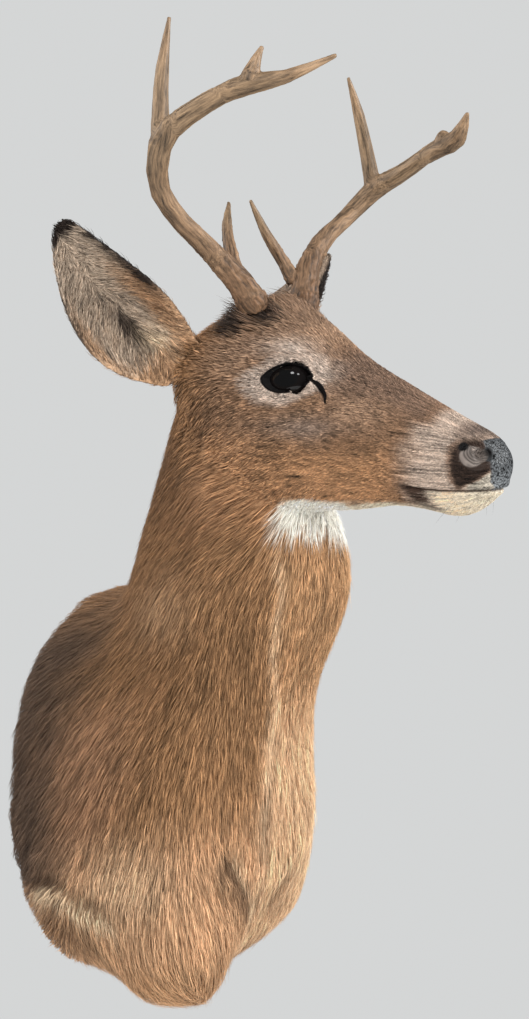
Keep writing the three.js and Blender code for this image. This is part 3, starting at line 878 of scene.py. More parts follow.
@dataclass
class Skin:
    """The one skin that stands for every node of flesh, inside their outline by the coat's depth."""

    voxel: float = 2.2 * MM
    swell: float = 0.55 * MM  # closes the parting cuts before the nodes become one skin
    body_kept: float = 0.35  # share of the faces that stay where the long coat hides them
    pleat_run: float = 12.0 * MM  # how far the nostril's pleats are counted from its sweep

    def __post_init__(self) -> None:
        """Makes the skin's mesh and its reading surface."""
        self.tree, owner = tree_over(FLESH)
        self.region_of_face = np.array([region.value for region in FLESH.values()])[owner]
        self.piece = grown("skin", FLESH, self.swell, self.voxel)
        self._thin_the_body()
        self._even_out()
        self._refine()
        self._set_in()
        self._sculpt()
        mesh = self.piece.data
        self.surface = self.reading(places(mesh), facings(mesh))
        points = [tuple(p) for p in places(mesh)]
        self.triangles = triangles_of(mesh)
        self.cover = BVHTree.FromPolygons(points, self.triangles.tolist())

    def regions_at(self, points: Array) -> Array:
        """The region of the flesh that lies nearest to each place."""
        found = [self.tree.find_nearest(p)[2] for p in points.tolist()]
        return self.region_of_face[np.array(found)]

    def reading(self, points: Array, normals: Array) -> Surface:
        """What the coat needs to know at some places of the skin."""
        return Surface(points, normals, self.regions_at(points))

    def _thin_the_body(self) -> None:
        """Spares faces on the shoulders and neck, where the coat hides the skin."""
        head = HEAD.inside(places(self.piece.data))
        keep_fine = smooth(-0.16, -0.10, head[:, 0] + 0.4 * np.abs(head[:, 1]))
        keep_fine *= smooth(-0.15, -0.125, head[:, 2])
        group = self.piece.vertex_groups.new(name="body")
        group.add(np.flatnonzero(keep_fine < 0.5).tolist(), 0.5, "REPLACE")
        with_modifier(self.piece, "DECIMATE", ratio=self.body_kept, vertex_group="body")
        LOG.info("skin has %d faces once the body is thinned", len(self.piece.data.polygons))

    def _even_out(self) -> None:
        """Takes the facets and steps out of the surface."""
        mesh = self.piece.data
        points, edges = places(mesh), edges_of(mesh)
        regions = self.regions_at(points)
        folded = mirrored(HEAD.inside(points))
        weight = np.ones(len(points))
        weight[regions == Region.EARS.value] = 0.35
        weight *= 1.0 - 0.7 * blob(folded, (0.19, 0.015, -0.06), 0.022)
        points = relaxed(points, edges, 26, weight)
        body = (regions == Region.TRUNK.value) | (regions == Region.NECK.value)
        points = relaxed(points, edges, 60, spread(body.astype(float), edges, 6))
        seam = spread((regions == Region.HEAD.value).astype(float), edges, 14)
        seam = 4.0 * seam * (1.0 - seam) * (regions != Region.EARS.value)
        move_to(mesh, relaxed(points, edges, 40, seam, swell=0.0))

    def _refine(self) -> None:
        """Adds faces where the lids, the nostrils and the mouth are formed."""
        grid = bmesh.new()
        grid.from_mesh(self.piece.data)
        grid.verts.ensure_lookup_table()
        folded = mirrored(HEAD.inside(places(self.piece.data)))
        fine = blob(folded, (0.003, 0.048, -0.005), 0.038) > 0.37
        fine |= (folded[:, 0] > 0.105) & (np.abs(folded[:, 2] + 0.068) < 0.04)
        edges = [e for e in grid.edges if fine[e.verts[0].index] and fine[e.verts[1].index]]
        bmesh.ops.subdivide_edges(grid, edges=edges, cuts=1, use_grid_fill=True)
        bmesh.ops.triangulate(grid, faces=[f for f in grid.faces if len(f.verts) > 4])
        grid.to_mesh(self.piece.data)
        grid.free()
        mesh = self.piece.data
        folded = mirrored(HEAD.inside(places(mesh)))
        weight = smooth(0.09, 0.105, folded[:, 0]) + blob(folded, (0.006, 0.05, -0.006), 0.034)
        move_to(mesh, relaxed(places(mesh), edges_of(mesh), 2, np.clip(weight, 0.0, 1.0)))

    def _set_in(self) -> None:
        """Moves the skin in from the coat's tips by the coat's depth."""
        mesh = self.piece.data
        points, normals = places(mesh), facings(mesh)
        surface = self.reading(points, normals)
        move_to(mesh, points - normals * (coat_depth(surface) + self.swell)[:, None])

    def _sculpt(self) -> None:
        """Forms the eye sockets, tear slits, nostrils, creases and lips on the skin."""
        mesh = self.piece.data
        points = places(mesh)
        head, ways = HEAD.inside(points), HEAD.way_in(facings(mesh))
        for side, opening in OPENINGS.items():
            head = self._with_eye(head, ways, opening, FLIP[side])
            head = self._with_nostril(head, ways, FLIP[side])
        for crease in (LEG_CREASE, ELBOW_CREASE):
            gap, along = to_line(mirrored(points, 0), crease)
            depth = 5.0 * MM * smooth(0.0, 0.2, along) * smooth(1.0, 0.8, along)
            fold = bell(gap, 5.0 * MM) - 0.5 * bell(gap - 13.0 * MM, 6.0 * MM)
            head -= ways * (depth * fold)[:, None]
        over = over_mouth(head)
        lips = smooth(0.106, 0.118, head[:, 0]) * (np.abs(ways[:, 2]) < 0.9)
        for height, at, reach in ((-1.9, 0.0, 1.1), (1.1, 3.5, 2.6), (0.7, -3.2, 2.4)):
            head += ways * (lips * height * MM * bell(over - at * MM, reach * MM))[:, None]
        move_to(mesh, HEAD.outside(head))

    @staticmethod
    def _with_eye(head: Array, ways: Array, opening: EyeOpening, flip: Array) -> Array:
        """Forms one eye's socket, the swelling round it and its tear slit.

        Args:
            head: Places of the skin in the head frame.
            ways: The way the skin faces there.
            opening: The eye's opening.
            flip: Takes the left side to the eye's.

        Returns:
            The new places.
        """
        flat = opening.read(head)
        share = opening.share(flat)
        near = np.linalg.norm(head - opening.origin, axis=1) < 0.036
        upper = 1.0 + 0.5 * smooth(-2.0 * MM, 6.0 * MM, flat[:, 1])
        swell = 1.3 * MM * smooth(2.3, 1.2, share) * smooth(0.75, 1.05, share) * near
        fold = bell(share - 2.0, 0.22) * near * smooth(0.0, 6.0 * MM, flat[:, 1])
        head = head + ways * (swell * upper - 0.9 * MM * fold)[:, None]
        gap = opening.ball_share(head)
        socket = near & ((gap < 1.05) | ((share < 0.92) & (flat[:, 2] > -0.018)))
        sunk = np.where(socket, np.minimum(gap, 0.85), gap)
        head = opening.ball + (head - opening.ball) * (sunk / np.maximum(gap, 1e-9))[:, None]
        slit, along = to_line(head, curve_through(TEAR_SLIT, 4) * flip)
        width = slit_width(along)
        head -= ways * (2.6 * MM * bell(slit, width))[:, None]
        return head + ways * (0.7 * MM * bell(slit - 1.9 * width, 0.7 * width))[:, None]

    @staticmethod
    def _with_nostril(head: Array, ways: Array, flip: Array) -> Array:
        """Forms one nostril: its raised sweep, the crease inside it and its two openings.

        Args:
            head: Places of the skin in the head frame.
            ways: The way the skin faces there.
            flip: Takes the left side to the nostril's.

        Returns:
            The new places.
        """
        sweep, along = to_line(head, curve_through(NOSTRIL_SWEEP, 4) * flip)
        crease, _ = to_line(head, curve_through(NOSTRIL_CREASE, 4) * flip)
        height = 1.2 * bell(sweep, 1.9 * MM) * smooth(0.95, 0.75, along)
        height -= 0.9 * bell(crease, 0.9 * MM)
        height -= 4.0 * blob(head, NOSTRIL_REAR[0] * flip, NOSTRIL_REAR[1])
        height -= 3.4 * blob(head, NOSTRIL_FRONT[0] * flip, NOSTRIL_FRONT[1])
        return head + ways * (height * MM)[:, None]

    def paint(self, profile: "Profile", lie: "Lie", finish: Finish) -> None:
        """Gives the skin its markings and its finish, and puts it in place of the flesh.

        Args:
            profile: The body's front and back lines.
            lie: The way the hair lies.
            finish: The skin's finish.
        """
        surface = self.surface
        store_colour(self.piece.data, "marking", markings(surface, profile, lie))
        bare = bare_nose(surface)
        folded = surface.folded
        wet = nose_pad(surface) * smooth(0.15, 0.04, blob(folded, NOSTRIL_FRONT[0], NOSTRIL_FRONT[1]))
        sweep, _ = to_line(folded, curve_through(NOSTRIL_SWEEP[:5], 4))
        pleats = np.column_stack([nostril_fold(folded), sweep / self.pleat_run, np.zeros(len(sweep))])
        store_colour(self.piece.data, "nostril", pleats)
        long_hair = np.where(surface.is_head, smooth(0.0, -0.08, surface.head[:, 0]), ~surface.is_ear)
        store_colour(self.piece.data, "bare", np.column_stack([bare, wet, long_hair]))
        dressed(self.piece, finish, tuple(FLESH))


def coat_depth(surface: Surface) -> Array:
    """How far the coat's tips stand over the skin.

    Args:
        surface: Places of the skin.

    Returns:
        The depth at each, in metres.
    """
    x = surface.head[:, 0]
    depth = 4.6 * MM - 3.4 * MM * smooth(-0.13, 0.03, x) * surface.is_head
    depth = np.where(surface.is_head, depth - 0.7 * MM * smooth(0.08, 0.15, x), depth)
    depth = np.where(surface.is_head & (bare_nose(surface) > 0.5), 0.0, depth)
    return np.where(surface.is_ear, 0.5 * MM, depth)


def nose_pad(surface: Surface) -> Array:
    """Finds the wet pebbled pad of the nose.

    Args:
        surface: The places.

    Returns:
        The share of each place that is the pad.
    """
    x, y, z = surface.folded.T
    side = np.interp(z, [-0.083, -0.075, -0.062, -0.05, -0.040], [0.010, 0.0165, 0.0185, 0.0185, 0.0155])
    back = np.interp(z, [-0.083, -0.06, -0.048, -0.041, -0.038], [0.186, 0.184, 0.181, 0.179, 0.184])
    pad = smooth(0.9 * MM, -0.9 * MM, y - side) * smooth(-1.2 * MM, 1.2 * MM, x - back)
    return pad * smooth(-0.0835, -0.0815, z) * surface.is_head


def nostril_fold(folded: Array) -> Array:
    """The share of each place that is the bare fold inside a nostril's rim."""
    x, y, z = folded.T
    return smooth(1.04, 0.9, np.hypot((x - 0.1755) / 0.0098, (z + 0.0545) / 0.0088)) * (y > 0.012)


def bare_nose(surface: Surface) -> Array:
    """Where the nose has no hair: the pad in front and the rims of the nostrils.

    Args:
        surface: Places of the skin.

    Returns:
        A share from 0 to 1 for each.
    """
    sweep, _ = to_line(surface.folded, curve_through(NOSTRIL_SWEEP, 4))
    crease, _ = to_line(surface.folded, curve_through(NOSTRIL_CREASE, 4))
    rims = np.maximum(smooth(3.2 * MM, 2.2 * MM, sweep), smooth(6.5 * MM, 5.0 * MM, crease))
    return np.maximum(nose_pad(surface), rims * surface.is_head)


# ---- the markings ----
NECK_BROWN = (0.33, 0.178, 0.083)
FRONT_TAN = (0.53, 0.31, 0.158)
# Partly the brisket's own tan, partly painted light.
LIT_BRISKET_TAN = (0.8, 0.53, 0.32)
BACK_DARK = (0.13, 0.082, 0.054)
SHOULDER_GREY = (0.42, 0.235, 0.13)
PARTING_PALE = (0.85, 0.62, 0.4)
# Painted shade for the creases of the shoulder's skin.
PAINTED_CREASE_SHADE = (0.13, 0.075, 0.042)
LOWER_TAN = (0.64, 0.39, 0.22)
NAPE_BROWN = (0.235, 0.125, 0.06)
CREAM = (0.85, 0.66, 0.44)
THROAT_WHITE = (0.9, 0.86, 0.77)
FACE_BROWN = (0.28, 0.162, 0.092)
CHEEK_WARM = (0.38, 0.245, 0.16)
CHEEK_BROWN = (0.225, 0.122, 0.062)
FOREHEAD = (0.37, 0.235, 0.15)
BRIDGE_DARK = (0.205, 0.13, 0.089)
CHEEK_GREY = (0.27, 0.205, 0.165)
JAW_RUST = (0.43, 0.235, 0.118)
EYE_RING = (0.6, 0.5, 0.425)
MUZZLE_PALE = (0.49, 0.385, 0.31)
MUZZLE_TOP = (0.33, 0.24, 0.185)
NOSTRIL_DARK = (0.035, 0.021, 0.015)
PATCH_EDGE = (0.2, 0.115, 0.07)
CHIN_CREAM = (0.78, 0.68, 0.53)
LIP_PALE = (0.37, 0.33, 0.27)
LIP_DARK = (0.062, 0.036, 0.024)
CROWN_DARK = (0.045, 0.03, 0.022)
STREAK_DARK = (0.11, 0.068, 0.045)
EAR_BACK = (0.32, 0.235, 0.17)
EAR_INNER = (0.42, 0.33, 0.25)
EAR_HOLLOW = (0.07, 0.052, 0.04)
EAR_RIM = (0.022, 0.015, 0.012)
EAR_ROOT_RUST = (0.44, 0.265, 0.15)
NOSE_PAD = (0.045, 0.048, 0.05)
NOSTRIL_FOLD = (0.24, 0.2, 0.175)
MUZZLE_END = (0.12, 0.088, 0.072)
# Near-black: the lids, tear slits and eye rims as they are, and the nostrils' openings, where it is partly
# painted shade.
NEAR_BLACK = (0.006, 0.005, 0.005)


class Paint:
    """The colours of many places, on which other colours are laid."""

    def __init__(self, ground: Colour, count: int) -> None:
        """Starts every place with one colour."""
        self.colours = np.tile(np.array(ground), (count, 1))

    def lay(self, colour: Colour, share: Array) -> None:
        """Draws the places towards a colour by a share of each."""
        self.colours = mixed(self.colours, colour, share)


@dataclass
class Profile:
    """The front and back lines of the shoulders and neck and the edges of the ears, read from the skin."""

    heights: Array
    front: Array
    back: Array
    ear_steps: Array
    ear_upper: Array
    ear_lower: Array

    @classmethod
    def of(cls, surface: Surface, slices: int = 40) -> "Profile":
        """Measures the lines.

        Args:
            surface: Places all over the skin.
            slices: How many heights are read.

        Returns:
            The profile.
        """
        body = surface.points[~(surface.is_ear | surface.is_head)]
        edges = np.linspace(body[:, 2].min(), body[:, 2].max(), slices + 1)
        rows = [body[(body[:, 2] >= a) & (body[:, 2] <= b), 1] for a, b in zip(edges, edges[1:])]
        front = np.array([row.min() for row in rows])
        back = np.array([row.max() for row in rows])
        along, across, _ = surface.ear[surface.is_ear].T
        steps = np.linspace(0.0, 1.0, 15)
        strips = [across[np.abs(along - step) < 0.04] for step in steps]
        upper, lower = (np.array([edge(strip) for strip in strips]) for edge in (np.min, np.max))
        return cls((edges[1:] + edges[:-1]) / 2, front, back, steps, upper, lower)

    def share(self, points: Array) -> Array:
        """How far back places lie between the two lines.

        Args:
            points: Places, one a row.

        Returns:
            The share of each, from 0 at the front line to 1 at the back line.
        """
        front = np.interp(points[:, 2], self.heights, self.front)
        back = np.interp(points[:, 2], self.heights, self.back)
        return (points[:, 1] - front) / (back - front)

    def across_ear(self, ear: Array) -> Array:
        """How far across an ear places lie.

        Args:
            ear: Places in the ear's own frame.

        Returns:
            The share of each, from -1 at the upper edge to 1 at the lower one.
        """
        upper = np.interp(ear[:, 0], self.ear_steps, self.ear_upper)
        lower = np.interp(ear[:, 0], self.ear_steps, self.ear_lower)
        return 2.0 * (ear[:, 1] - upper) / (lower - upper) - 1.0


def body_markings(surface: Surface, profile: Profile) -> Array:
    """The colours of the shoulders, neck and legs.

    Args:
        surface: Places of the skin.
        profile: The body's front and back lines.

    Returns:
        One colour a row.
    """
    points = surface.points
    x, y, z = points.T
    back = profile.share(points) + 0.05 * noise(points, 0.05, 3)
    paint = Paint(NECK_BROWN, len(points))
    sided = mirrored(points, 0)
    nape = smooth(0.14, 0.24, z) * smooth(0.02, 0.35, back)
    nape *= 1.0 - blob(sided, (0.083, -0.19, 0.2), (0.04, 0.05, 0.04))
    nape = np.maximum(nape, blob(sided, (0.072, -0.274, 0.27), (0.035, 0.035, 0.035)))
    paint.lay(NAPE_BROWN, nape * 0.95)
    down_front = np.interp(z, [-0.06, 0.05, 0.11, 0.175], [-0.010, -0.006, -0.022, -0.030])
    aside = x - down_front + 0.004 * noise(points, 0.012, 6)
    inner = smooth(-0.014, 0.004, aside) * smooth(0.12, 0.06, x)
    # The front tan, and the brisket tan below it, lie mostly on the animal's left of the parting: partly the
    # coat's own tan, partly painted light on the side that the light falls on.
    paint.lay(FRONT_TAN, smooth(0.35, 0.05, back) * smooth(0.26, 0.18, z) * (0.25 + 0.75 * inner))
    paint.lay(SHOULDER_GREY, smooth(0.2, 0.45, back) * smooth(0.1, 0.03, z) * 0.85)
    below = smooth(-0.015, -0.09, z + 0.05 * back) * (1.0 - 0.5 * smooth(-0.15, -0.18, z))
    paint.lay(LOWER_TAN, below)
    paint.lay(LIT_BRISKET_TAN, smooth(0.4, 0.15, back) * smooth(0.1, 0.0, z) * inner)
    dark = smooth(0.42, 0.85, back + 0.07 * noise(points, 0.02, 8))
    paint.lay(BACK_DARK, dark * smooth(0.2, 0.12, z) * smooth(-0.14, -0.08, z))
    for shade, amount, spot, reach in (
        (NAPE_BROWN, 0.8, (0.135, -0.06, -0.142), (0.04, 0.045, 0.022)),
        (CREAM, 0.4, (0.12, -0.164, -0.098), (0.03, 0.05, 0.03)),
        (PARTING_PALE, 0.2, (0.087, -0.2, 0.15), (0.02, 0.04, 0.03)),
    ):
        paint.lay(shade, amount * blob(sided, spot, reach))
    # Along each crease of the shoulder: painted shade on one side of the fold and a painted cream highlight
    # along the other, stronger on the animal's right.
    for line, shaded_side in ((LEG_CREASE, (0.0, 0.6, -0.8)), (ELBOW_CREASE, (0.0, 0.0, 1.0))):
        gap, along = to_line(sided, line)
        ends = smooth(0.0, 0.15, along) * smooth(1.0, 0.85, along)
        nearest = read_line(line, np.linspace(0.0, 1.0, len(line)), along)
        shaded = smooth(-0.004, 0.004, (sided - nearest) @ np.array(shaded_side))
        ends = ends * np.where(x < 0.0, 1.0, 0.5)
        paint.lay(PAINTED_CREASE_SHADE, 0.85 * smooth(0.022, 0.0, gap) * shaded * ends)
        paint.lay(CREAM, 0.8 * smooth(0.02, 0.004, gap) * (1.0 - shaded) * ends)
    # Painted shade in the crease between the foreleg and the brisket.
    paint.lay(PAINTED_CREASE_SHADE, 0.8 * blob(points, (-0.009, -0.229, -0.042), (0.005, 0.02, 0.02)))
    stripe = bell(aside, 0.0035) * smooth(-0.1, -0.02, z) * smooth(0.2, 0.18, z)
    paint.lay(PARTING_PALE, 0.55 * stripe * (y < -0.1))
    return paint.colours


def head_markings(surface: Surface, strand: Array) -> Array:
    """The colours of the head, but for the ears.

    Args:
        surface: Places of the skin.
        strand: The locks that the hair falls in, from about -1 to 1.

    Returns:
        One colour a row.
    """
    folded, normals = surface.folded, surface.head_normals
    x, _, z = folded.T
    rough = noise(folded, 0.006, 11)
    wavy = noise(folded, 0.014, 12)
    paint = Paint(FACE_BROWN, len(folded))
    paint.lay(JAW_RUST, smooth(-0.04, -0.075, z + 0.006 * wavy) * smooth(0.12, 0.08, x))
    paint.lay(NAPE_BROWN, smooth(-0.06, -0.12, x - 0.3 * (z + 0.04)) * 0.8)
    forehead = blob(folded, (-0.005, 0.018, 0.045), (0.042, 0.03, 0.03))
    paint.lay(FOREHEAD, smooth(0.1, 0.6, forehead + 0.1 * wavy))
    top = smooth(0.2, 0.7, normals[:, 2])
    bridge = top * smooth(0.018, 0.05, x + 0.006 * wavy) * smooth(0.15, 0.115, x)
    paint.lay(BRIDGE_DARK, bridge * 0.95)
    for shade, amount, spot, reach in (
        (BRIDGE_DARK, 0.8, (0.062, 0.03, -0.008), (0.03, 0.02, 0.014)),
        (CHEEK_GREY, 0.9, (0.03, 0.05, -0.046), (0.04, 0.04, 0.012)),
        (CHEEK_WARM, 0.8, (0.068, 0.038, -0.027), (0.028, 0.03, 0.013)),
        (CHEEK_WARM, 0.8, (-0.056, 0.052, 0.01), (0.026, 0.03, 0.024)),
        (CHEEK_BROWN, 0.8, (0.06, 0.042, -0.054), (0.034, 0.03, 0.013)),
        (CHEEK_BROWN, 0.4, (0.005, 0.052, -0.065), (0.03, 0.03, 0.015)),
    ):
        paint.lay(shade, amount * blob(folded, spot, reach))
    share, off_plane = OPENINGS["left"].around(folded)
    here = off_plane < 0.025
    ring = smooth(3.6, 1.9, share + 0.3 * wavy) * here
    upper = blob(folded, (0.0, 0.046, 0.022), (0.030, 0.02, 0.010))
    ahead = blob(folded, (0.034, 0.04, 0.004), (0.012, 0.02, 0.012))
    ring = np.maximum(0.85 * ring, np.maximum(0.9 * upper, 0.6 * ahead))
    paint.lay(EYE_RING, ring * (0.9 + 0.15 * rough))
    band = smooth(0.1, 0.136, x - 0.25 * np.maximum(z + 0.05, 0.0) + 0.006 * wavy + 0.004 * strand)
    paint.lay(MUZZLE_PALE, band * smooth(0.6, 0.1, bridge))
    paint.lay(MUZZLE_TOP, 0.8 * smooth(0.15, 0.165, x) * smooth(-0.046, -0.038, z))
    paint.lay(MUZZLE_END, smooth(0.155, 0.175, x + 0.5 * (z + 0.038)) * smooth(-0.041, -0.034, z))
    edge = np.interp(z, [-0.083, -0.075, -0.06, -0.048, -0.042], [0.166, 0.160, 0.1565, 0.1585, 0.164])
    inward = x - edge + 1.5 * MM * rough
    slope = z - np.interp(x, [0.166, 0.180, 0.1905], [-0.0825, -0.0745, -0.0655]) + 0.8 * MM * rough
    under_bridge = smooth(-0.038, -0.045, z - 0.05 * (x - 0.17))
    patch_edge = smooth(-5.5 * MM, 0.0, inward) * smooth(-4.0 * MM, 0.0, slope)
    paint.lay(PATCH_EDGE, 0.8 * patch_edge * under_bridge)
    patch = smooth(-1.0 * MM, 4.0 * MM, inward) * smooth(-2.0 * MM, 1.5 * MM, slope)
    paint.lay(NOSTRIL_DARK, patch * under_bridge)
    white_lip = smooth(0.170, 0.177, x) * smooth(-0.5 * MM, -2.5 * MM, slope)
    paint.lay(LIP_PALE, white_lip)
    over = over_mouth(folded)
    under = smooth(-0.68, -0.9, normals[:, 2])
    paint.lay(CHIN_CREAM, under * smooth(-0.075, -0.03, x) * smooth(-0.1, -0.108, z))
    lower = smooth(0.5 * MM, -0.5 * MM, over) * smooth(0.098, 0.114, x + 1.1 * over)
    dark_lip = lower * smooth(0.158, 0.128, x + 0.3 * (z + 0.095) + 0.014 * strand)
    paint.lay(LIP_DARK, dark_lip * smooth(0.75, 0.3, under))
    chin = smooth(0.132, 0.146, x + 0.35 * (z + 0.09) + 0.003 * rough)
    paint.lay(CHIN_CREAM, lower * np.maximum(chin, 0.25 * smooth(-0.097, -0.102, z)))
    brown = smooth(0.1, 0.55, strand) * lower * smooth(0.188, 0.165, x)
    paint.lay(FRONT_TAN, 0.55 * brown * chin)
    lips = bell(over, 1.3 * MM) * smooth(0.100, 0.112, x)
    paint.lay(LIP_DARK, lips)
    crown = blob(folded, (-0.072, 0.0, 0.06), (0.026, 0.05, 0.03))
    crown = np.maximum(crown, 1.2 * blob(folded, (-0.073, 0.042, 0.052), (0.03, 0.028, 0.024)))
    crown = np.maximum(crown, 0.85 * blob(folded, (-0.034, 0.032, 0.05), (0.014, 0.016, 0.014)))
    paint.lay(CROWN_DARK, smooth(0.3, 0.6, crown + 0.3 * strand))
    streaked = blob(folded, (-0.03, 0.012, 0.052), (0.034, 0.045, 0.022))
    paint.lay(STREAK_DARK, smooth(0.0, 0.5, strand) * smooth(0.15, 0.5, streaked))
    paint.lay(NOSTRIL_DARK, bare_nose(surface))
    paint.lay(NOSE_PAD, nose_pad(surface))
    # Painted highlight: the lower part of the wet pad is painted up to nearly twice as light.
    paint.colours *= (1.0 + 0.9 * nose_pad(surface) * smooth(-0.058, -0.078, z))[:, None]
    paint.lay(NOSTRIL_FOLD, nostril_fold(folded) * (0.85 + 0.2 * rough))
    # The nostrils' openings are painted near-black: partly their own dark lining, partly painted shade of a
    # depth that the sculpted dents don't have.
    paint.lay(NEAR_BLACK, smooth(0.2, 0.45, blob(folded, *NOSTRIL_REAR)))
    paint.lay(NEAR_BLACK, smooth(0.15, 0.4, blob(folded, *NOSTRIL_FRONT)))
    paint.lay(NEAR_BLACK, smooth(0.6 * MM, -0.4 * MM, slit_gap(folded)))
    paint.lay(NEAR_BLACK, smooth(1.17, 1.09, share) * here)
    return paint.colours


def ear_markings(surface: Surface, profile: Profile) -> Array:
    """The colours of the ears.

    Args:
        surface: Places of the skin.
        profile: The edges of the ears.

    Returns:
        One colour a row.
    """
    along = surface.ear[:, 0]
    across = profile.across_ear(surface.ear)
    inside = smooth(-0.05, 0.3, surface.ear_facing[:, 2])
    speck = noise(surface.points, 0.004, 31)
    paint = Paint(EAR_BACK, len(along))
    paint.lay(EAR_ROOT_RUST, smooth(0.3, 0.02, along))
    paint.lay(EAR_INNER, inside)
    side = smooth(-0.45, -0.7, across) + 0.8 * smooth(0.72, 0.9, across)
    paint.lay(EAR_ROOT_RUST, (side + 0.25 * speck) * smooth(0.75, 0.35, along) * inside)
    hollow = bell(along - 0.22, 0.13) * bell(across - 0.05, 0.28) * inside
    paint.lay(EAR_HOLLOW, smooth(0.1, 0.75, hollow + 0.2 * speck))
    paint.lay(EAR_ROOT_RUST, smooth(0.12, 0.0, along + 0.05 * speck) * inside)
    tuft = bell(along - 0.1, 0.07) * bell(across + 0.2, 0.35) * inside
    paint.lay(CREAM, 0.5 * tuft)
    upper_rim = smooth(-0.84, -0.92, across + 0.05 * speck) * smooth(0.22, 0.45, along)
    lower_rim = smooth(0.88, 0.96, across + 0.03 * speck) * smooth(0.25, 0.5, along)
    tip = smooth(0.885, 0.935, along + 0.02 * speck)
    rim = np.maximum(upper_rim, 0.8 * lower_rim) * smooth(-0.75, -0.3, surface.ear_facing[:, 2])
    paint.lay(EAR_RIM, np.maximum(rim, tip * np.where(surface.head[:, 1] > 0, 0.7, 1.0)))
    return paint.colours


def markings(surface: Surface, profile: Profile, lie: "Lie") -> Array:
    """The colours of every place of skin or coat, with the head's melting into the neck's.

    Args:
        surface: Places of the skin.
        profile: The body's front and back lines.
        lie: The way the hair lies.

    Returns:
        One colour a row.
    """
    strand = locks(surface.points, lie.at(surface), lock_width(surface), 43)
    body = body_markings(surface, profile)
    head = head_markings(surface, strand)
    x, z = surface.head[:, 0], surface.head[:, 2]
    onto_head = smooth(-0.125, -0.07, x - 0.5 * np.minimum(z + 0.10, 0.0)) * smooth(-0.155, -0.115, z)
    forward = np.maximum(onto_head, smooth(-0.11, -0.06, x))
    onto_head = np.where(surface.is_head, forward, onto_head * (x < 0.02))
    colours = body + (head - body) * onto_head[:, None]
    part_x, part_y, part_z = (surface.points + 0.004 * noise(surface.points, 0.006, 5)[:, None]).T
    beard = smooth(0.056, 0.048, np.abs(part_x - 0.018)) * smooth(0.199, 0.206, part_z)
    beard *= smooth(-0.27, -0.285, part_y) * smooth(-0.106, -0.113, z) * (x < 0.05)
    colours = mixed(colours, THROAT_WHITE, beard)
    colours = np.where(surface.is_ear[:, None], ear_markings(surface, profile), colours)
    grizzle = 1.0 + 0.07 * noise(surface.points, 0.009, 41) + 0.06 * noise(surface.points, 0.03, 42)
    broad = locks(surface.points, lie.at(surface), 3.0 * lock_width(surface), 44)
    haired = 1.0 - bare_nose(surface)
    calm = 1.0 - 0.6 * smooth(0.55, 0.75, colours.mean(axis=1))
    grizzle += (np.where(surface.is_head | surface.is_ear, 1.0, 0.72) * strand + 0.12 * broad) * haired * calm
    return np.clip(colours * grizzle[:, None], 0.004, 0.92)


# ---- the lie and the size of the coat ----
def lock_width(surface: Surface) -> Array:
    """How wide the locks are that the hair falls in: finest on the face.

    Args:
        surface: The places.

    Returns:
        The width at each place.
    """
    face = np.interp(surface.head[:, 0], [-0.12, -0.04, 0.1], [1.6, 1.3, 1.0]) * MM
    width = np.where(surface.is_head, face, 1.25 * MM)
    return np.where(surface.is_ear, 1.5 * MM, width)


LOCK_STEPS = 6  # readings of the noise to each side along the hair
LOCK_STRIDE = 1.9  # from one reading to the next, in widths of a lock
LOCK_EVENING = 4.4  # brings the sum of the readings back to about 1


def locks(points: Array, ways: Array, size: Array, seed: int) -> Array:
    """Noise drawn out along the hair, as the locks that it falls in, from about -1 to 1.

    Args:
        points: Places of the skin.
        ways: The way the hair lies at each.
        size: The width of a lock at each place.
        seed: Picks another pattern.

    Returns:
        The noise at each place.
    """
    total = np.zeros(len(points))
    for step in range(-LOCK_STEPS, LOCK_STEPS + 1):
        along = ways * (LOCK_STRIDE * step * size)[:, None]
        total += noise((points + along) / size[:, None], 1.0, seed)
    return np.clip(total / LOCK_EVENING, -1.5, 1.5)


# Places of the left side in millimetres, and the way the hair lies there, both in the head frame.
HEAD_LIE = (
    ((172, 0, -35), (-1, 0, 0.3)), ((172, 25, -70), (-1, 0.1, -0.1)),
    ((120, 30, -60), (-1, 0.05, 0)), ((90, 0, 0), (-1, 0, 0.25)),
    ((60, 42, -50), (-1, 0.05, -0.12)), ((30, 20, 25), (-1, 0.15, 0.35)),
    ((-20, 30, 55), (-1, 0.5, 0.4)), ((-20, 55, 15), (-1, 0.2, 0.05)),
    ((2, 55, -35), (-1, 0, -0.15)), ((-40, 60, -60), (-1, 0, -0.5)),
    ((-60, 50, -95), (-1, 0, -0.5)), ((-40, 0, -125), (-1, 0, -0.5)),
    ((100, 15, -105), (-1, 0, -0.05)), ((165, 8, -108), (-0.9, 0, -0.4)),
    ((-55, 0, 66), (-0.9, 0, 0.5)), ((-95, 0, 50), (-0.95, 0, -0.3)),
    ((-100, 55, -30), (-0.5, 0, -0.9)), ((-95, 62, 15), (-0.5, 0.8, 0.4)),
)
# The same for the shoulders and neck, in the part's frame.
BODY_LIE = (
    ((20, -190, 335), (0, 0.55, -0.83)), ((0, -320, 200), (0, 0.1, -1)),
    ((70, -230, 230), (0, 0.65, -0.75)), ((80, -200, 130), (0, 0.55, -0.83)),
    ((40, -262, 90), (0, 0.3, -0.95)), ((0, -265, 60), (0, 0.2, -0.98)),
    ((0, -235, -60), (0, 0.3, -0.95)), ((0, -180, -160), (0, 0.7, -0.7)),
    ((0, -80, 205), (0, 0.9, -0.45)), ((115, -90, 60), (0, 0.52, -0.85)),
    ((130, -20, 50), (0, 0.65, -0.76)), ((130, -60, -60), (0, 0.7, -0.7)),
    ((120, -30, -110), (0, 0.9, -0.45)), ((105, -150, -70), (0, 0.3, -0.95)),
    ((60, -200, -120), (-0.2, 0.1, -0.97)), ((105, -130, -160), (0, -0.15, -1)),
    ((80, -150, -200), (-0.35, -0.45, -0.85)),
)


